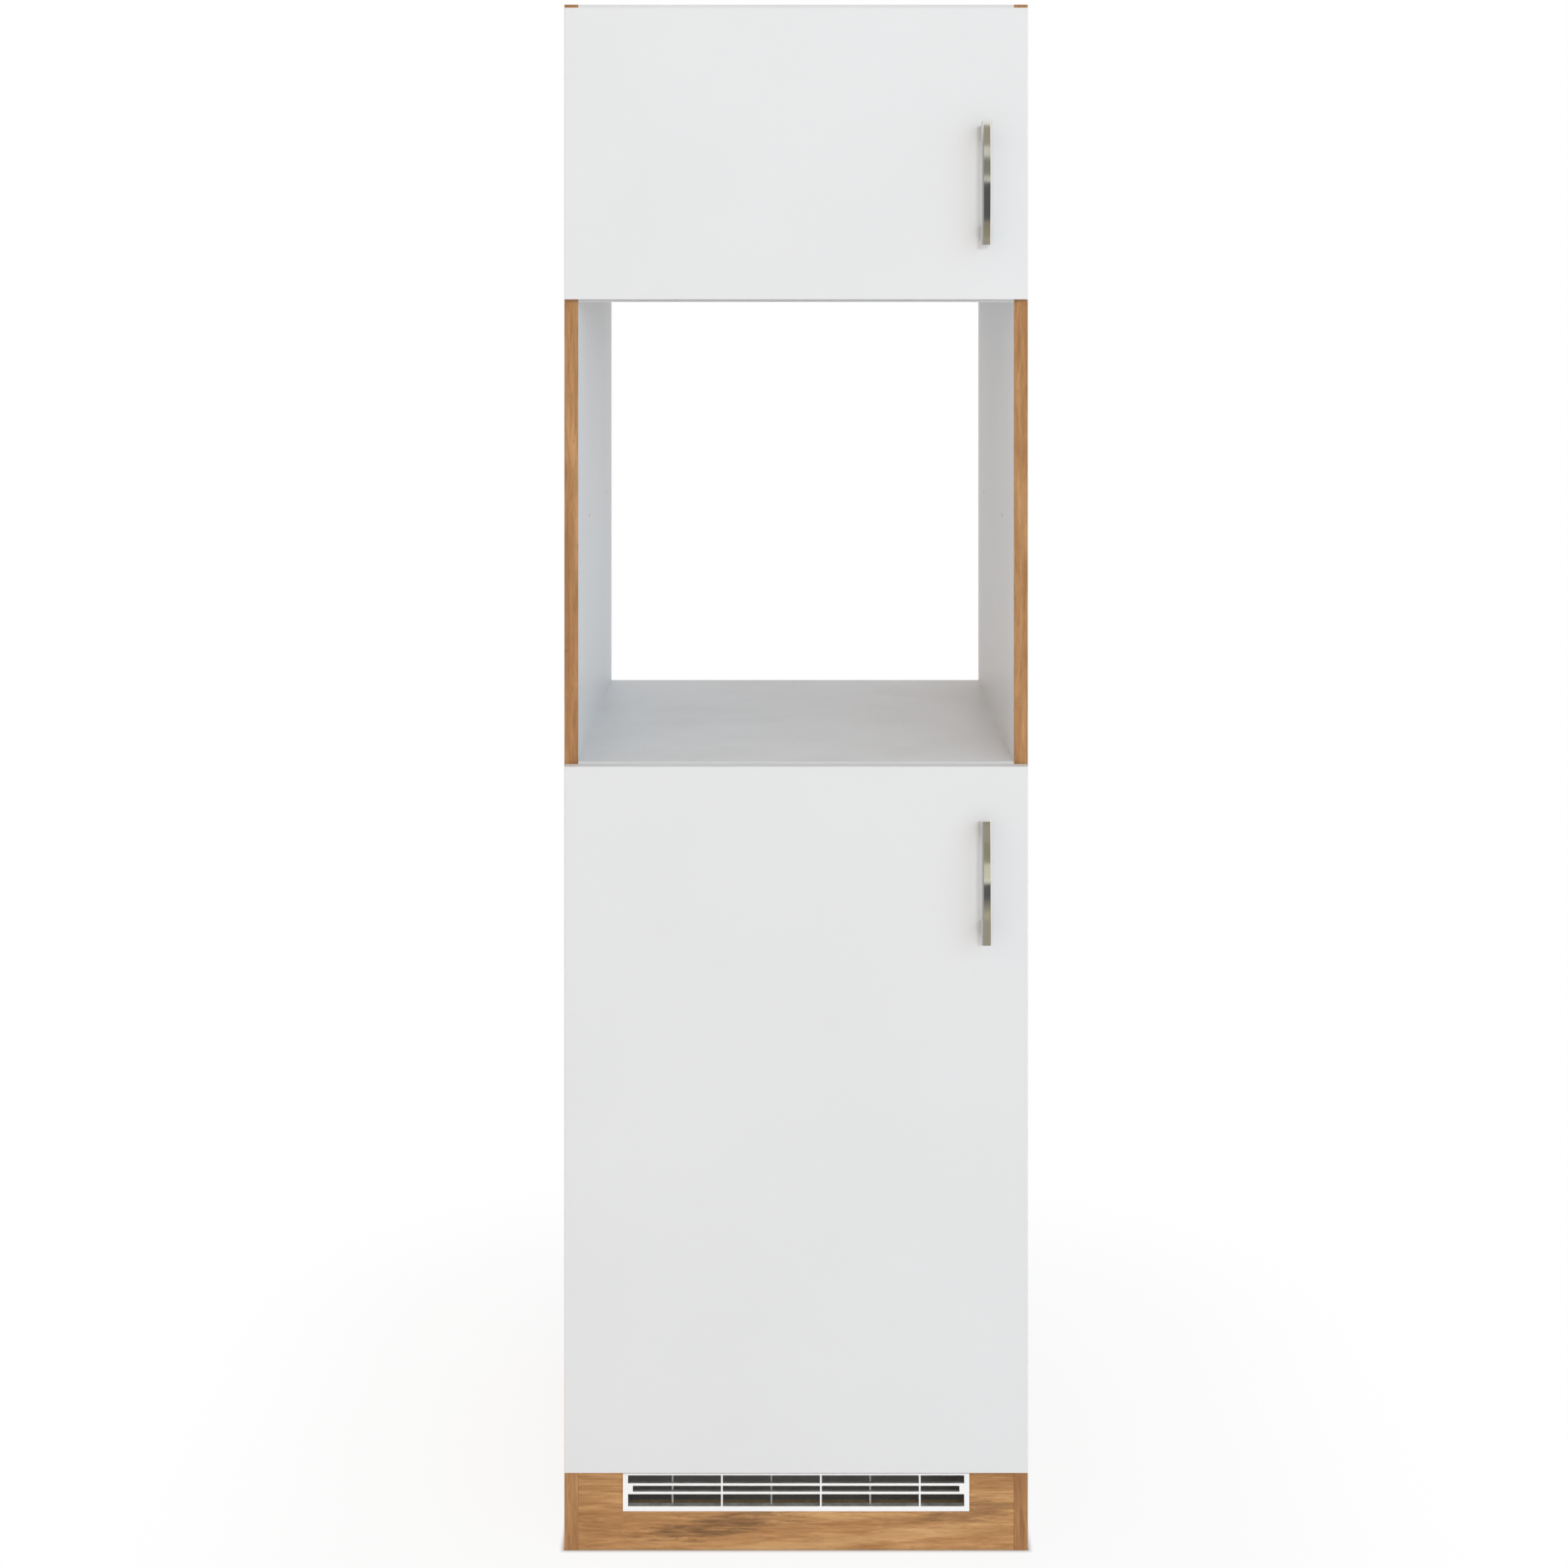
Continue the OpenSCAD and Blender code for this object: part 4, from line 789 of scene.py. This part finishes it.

# %% [markdown]
# ## Floor and background
# Catalogue pictures stand on white. A floor lit until it burns out would burn the object too. Here the
# floor and the sky are plain white only to the camera, to mirrors and through glass, while the
# light that falls on the cabinet stays at its plain level. Close to the cabinet the floor's own
# paint shows through, so that the cabinet keeps its shadow and stands firmly. Under the cabinet and close
# behind the plinth, the floor is painted grey as shade, and that is what one sees through the grille. The
# sky is a little cool on the right and warm on the left, which tints the niche's walls as in the picture.

# %% Who is looking: the camera, a mirror or glass
WHITE = (1.0, 1.0, 1.0, 1.0)
SKY_LEVEL = 0.6
SKY_LEFT, SKY_RIGHT = (1.14, 0.97, 0.84, 1.0), (0.85, 1.0, 1.15, 1.0)
SKY_BLEND = (-0.8, 0.8)     # from left to right, along the X of the direction


def seen_directly(tree):
    rays = box_of(tree, "LightPath").outputs
    first = calc(tree, "MAXIMUM", rays["Is Camera Ray"], rays["Is Glossy Ray"])
    return calc(tree, "MAXIMUM", first, rays["Is Transmission Ray"])


def mixed(tree, factor, first, second, outlet):
    made = box_of(tree, "MixShader")
    for value, socket in zip((factor, first, second), made.inputs):
        wire(tree, value, socket)
    wire(tree, made.outputs[0], outlet)


sky = bpy.data.worlds.new("studio_sky")
bpy.context.scene.world = sky
sky.use_nodes = True
tree = sky.node_tree
tree.nodes.clear()
outlet = tree.nodes.new("ShaderNodeOutputWorld").inputs["Surface"]
towards = split(tree, box_of(tree, "TexCoord").outputs["Generated"])[0]
tint = blend(tree, between(tree, towards, *SKY_BLEND), SKY_LEFT, SKY_RIGHT)
soft = box_of(tree, "Background", None, Color=tint, Strength=SKY_LEVEL).outputs[0]
plain = box_of(tree, "Background", None, Color=WHITE, Strength=1.0).outputs[0]
mixed(tree, seen_directly(tree), soft, plain, outlet)

# %% The floor
FLOOR_HALF = 30.0
FLOOR_PAINT = (0.93, 0.93, 0.93, 1.0)
PAINTED_SHADE_UNDER = (0.50, 0.49, 0.46, 1.0)       # painted shade: its colour under the cabinet, close behind the plinth
SHADE_FADE_ALONG_Y = (-0.02, 0.22)             # metres along Y over which the painted shade fades out towards the back
UNDER = 0.001           # up to this far from the cabinet counts as under it
NEAR_SHARE = 0.88       # how white the floor already is close to the cabinet
FADE = (0.02, 0.7)      # metres from the cabinet over which it turns plain white
FOOT = 0.008            # over this distance the floor's own paint gives way to white

floor_paint, tree, shader = new_finish("pale_floor", Roughness=0.8, Specular_IOR_Level=0.2)
outside = []
for side, low, high in zip(split(tree, own_place(tree)), (cad_low.x, FRONT), (cad_high.x, cad_high.y)):
    past = calc(tree, "SUBTRACT", calc(tree, "ABSOLUTE", calc(tree, "SUBTRACT", side, (low + high) / 2)),
                (high - low) / 2)
    outside.append(calc(tree, "POWER", calc(tree, "MAXIMUM", past, 0.0), 2.0))
distance = calc(tree, "SQRT", calc(tree, "ADD", *outside))
# painted shade: the floor under the cabinet turns grey close behind the plinth and fades towards the back
behind = between(tree, split(tree, own_place(tree))[1], *SHADE_FADE_ALONG_Y, 1.0, 0.0)
dust_and_shade = calc(tree, "MULTIPLY", behind, calc(tree, "LESS_THAN", distance, UNDER))
wire(tree, blend(tree, dust_and_shade, FLOOR_PAINT, PAINTED_SHADE_UNDER), shader["Base Color"])
share = calc(tree, "MULTIPLY", between(tree, distance, *FADE, NEAR_SHARE, 1.0),
             between(tree, distance, 0.0, FOOT))
lit = next(item for item in tree.nodes if item.type == "BSDF_PRINCIPLED").outputs[0]
plain = box_of(tree, "Emission", None, Color=WHITE, Strength=1.0).outputs[0]
outlet = next(item for item in tree.nodes if item.type == "OUTPUT_MATERIAL").inputs["Surface"]
mixed(tree, calc(tree, "MULTIPLY", seen_directly(tree), share), lit, plain, outlet)


def sheet_of(name, corners, finish):
    data = bpy.data.meshes.new(name)
    data.from_pydata(corners, [], [tuple(range(len(corners)))])
    data.materials.append(finish)
    sheet = bpy.data.objects.new(name, data)
    bpy.context.scene.collection.objects.link(sheet)
    return sheet


sheet_of("floor", [(-FLOOR_HALF, -FLOOR_HALF, 0), (FLOOR_HALF, -FLOOR_HALF, 0),
                   (FLOOR_HALF, FLOOR_HALF, 0), (-FLOOR_HALF, FLOOR_HALF, 0)], floor_paint)

# %% [markdown]
# ## Light
# The handles' shadows tell where the main lamp stands: they fall a little to the left and down, so it is
# in front, slightly to the right of the camera and above it. It stands far off, so that both doors get the
# same. Two very large lamps at the sides fill in, cool from the right and warm from the left, as
# the niche's walls show. Small side lamps would give every handle three shadows.

# %% A main lamp and two soft ones
def softbox(name, place, target, size, power, colour):
    lamp = bpy.data.lights.new(name, "AREA")
    lamp.shape, lamp.size, lamp.energy, lamp.color = "SQUARE", size, power, colour
    stand = bpy.data.objects.new(name, lamp)
    bpy.context.scene.collection.objects.link(stand)
    stand.location = place
    stand.rotation_euler = (Vector(target) - Vector(place)).to_track_quat("-Z", "Y").to_euler()
    stand.visible_glossy = False
    print(name, power, "W")


AIM = (0, FRONT, 1.0)
softbox("main_lamp", (1.5, -9.4, 3.5), AIM, 1.4, 200.0, (1.0, 1.0, 1.0))
softbox("right_softbox", (7.0, -7.5, 5.0), AIM, 8.5, 225.0, (0.80, 0.93, 1.0))
softbox("left_softbox", (-7.0, -7.5, 5.0), AIM, 8.5, 80.0, (1.0, 0.84, 0.70))

# %% [markdown]
# ## What the chrome mirrors
# Chrome has no colour of its own: a chromed handle in a white room is white. The stripes in the picture's
# handles are the dark studio behind the camera. Photographers hold up cards for this; here the cards glow
# with their own colours instead: one behind the camera for the upper handle, one on the floor for the lower,
# and two plain ones on the left, upright and lying, for the handles' left flanks. They are seen only by
# mirrors, so they are painted reflections that darken nothing else. Their bands are set by height.

# %% Cards that only mirrors see
def card(name, corners, axis, bands, fade=None):
    """Bands are places along an axis and colours; fade is two places along X, from paler to full."""
    finish = bpy.data.materials.new(name)
    finish.use_nodes = True
    tree = finish.node_tree
    tree.nodes.clear()
    place = split(tree, own_place(tree))
    low, high = bands[0][0], bands[-1][0]
    part = calc(tree, "DIVIDE", calc(tree, "SUBTRACT", place[axis], low), high - low, clamp=True)
    colour = ramp(tree, part, *[((spot - low) / (high - low), tint) for spot, tint in bands])
    if fade:
        colour = blend(tree, between(tree, place[0], *fade), MIST, colour)
    # painted reflection: the card glows with its bands and is seen only by glossy rays
    glow = box_of(tree, "Emission", None, Color=colour, Strength=1.0).outputs[0]
    wire(tree, glow, tree.nodes.new("ShaderNodeOutputMaterial").inputs["Surface"])
    sheet = sheet_of(name, corners, finish)
    sheet.visible_camera = sheet.visible_diffuse = sheet.visible_shadow = False
    sheet.visible_transmission = sheet.visible_volume_scatter = False
    print(name, "with", len(bands), "colour stops")


BROWN_GREY, PALE, GREEN_GREY = rgb(170, 164, 150), rgb(222, 222, 212), rgb(140, 142, 131)
SLATE, SAND, OLIVE, STONE = rgb(94, 97, 101), rgb(188, 180, 158), rgb(156, 151, 130), rgb(152, 145, 130)
CREAM, MIST = rgb(220, 219, 200), rgb(172, 176, 178)
WALL_Y = -3.7               # the wall card stands behind the camera
LEFT, RIGHT = -4.5, 1.5
FOOT_Z, HEAD_Z = 0.02, 2.85     # of the upright cards
LYING_Z = 0.01                  # of the lying cards
NEAR_Y, FAR_Y = -1.2, -3.65     # ends of the floor card
FADE_ACROSS = (-0.9, 0.1)


def upright(first, second):
    """Corners of an upright card between two places on the floor."""
    return [(*first, FOOT_Z), (*second, FOOT_Z), (*second, HEAD_Z), (*first, HEAD_Z)]


def lying(left, right, front, back):
    return [(left, front, LYING_Z), (right, front, LYING_Z), (right, back, LYING_Z), (left, back, LYING_Z)]


card("wall_card", upright((LEFT, WALL_Y), (RIGHT, WALL_Y)), 2,
     ((FOOT_Z, CREAM), (0.28, CREAM), (0.32, OLIVE), (0.63, OLIVE), (0.66, BROWN_GREY), (0.93, BROWN_GREY),
      (0.97, OLIVE), (1.07, OLIVE), (1.09, STONE), (1.21, STONE), (1.25, SLATE), (1.86, SLATE),
      (1.89, PALE), (1.96, PALE), (1.99, GREEN_GREY), (2.27, GREEN_GREY), (2.31, PALE), (2.46, PALE),
      (2.50, BROWN_GREY), (HEAD_Z, BROWN_GREY)), FADE_ACROSS)
card("floor_card", lying(LEFT, RIGHT, FAR_Y, NEAR_Y), 1,
     ((FAR_Y, CREAM), (-3.52, CREAM), (-3.42, SLATE), (-2.8, SLATE), (-2.32, BROWN_GREY), (-2.26, SAND),
      (-2.14, SAND), (-2.08, BROWN_GREY), (NEAR_Y, BROWN_GREY)), FADE_ACROSS)
card("left_card", upright((LEFT, WALL_Y), (LEFT, 4.0)), 2, ((FOOT_Z, MIST), (HEAD_Z, MIST)))
card("left_floor_card", lying(LEFT, -1.0, NEAR_Y, 2.5), 1, ((NEAR_Y, MIST), (2.5, MIST)))

# %% [markdown]
# ## Finish
# The view settings stay plain, so a colour renders about as it was written.

# %% Plain view settings and the end
bpy.context.scene.view_settings.view_transform = "Standard"
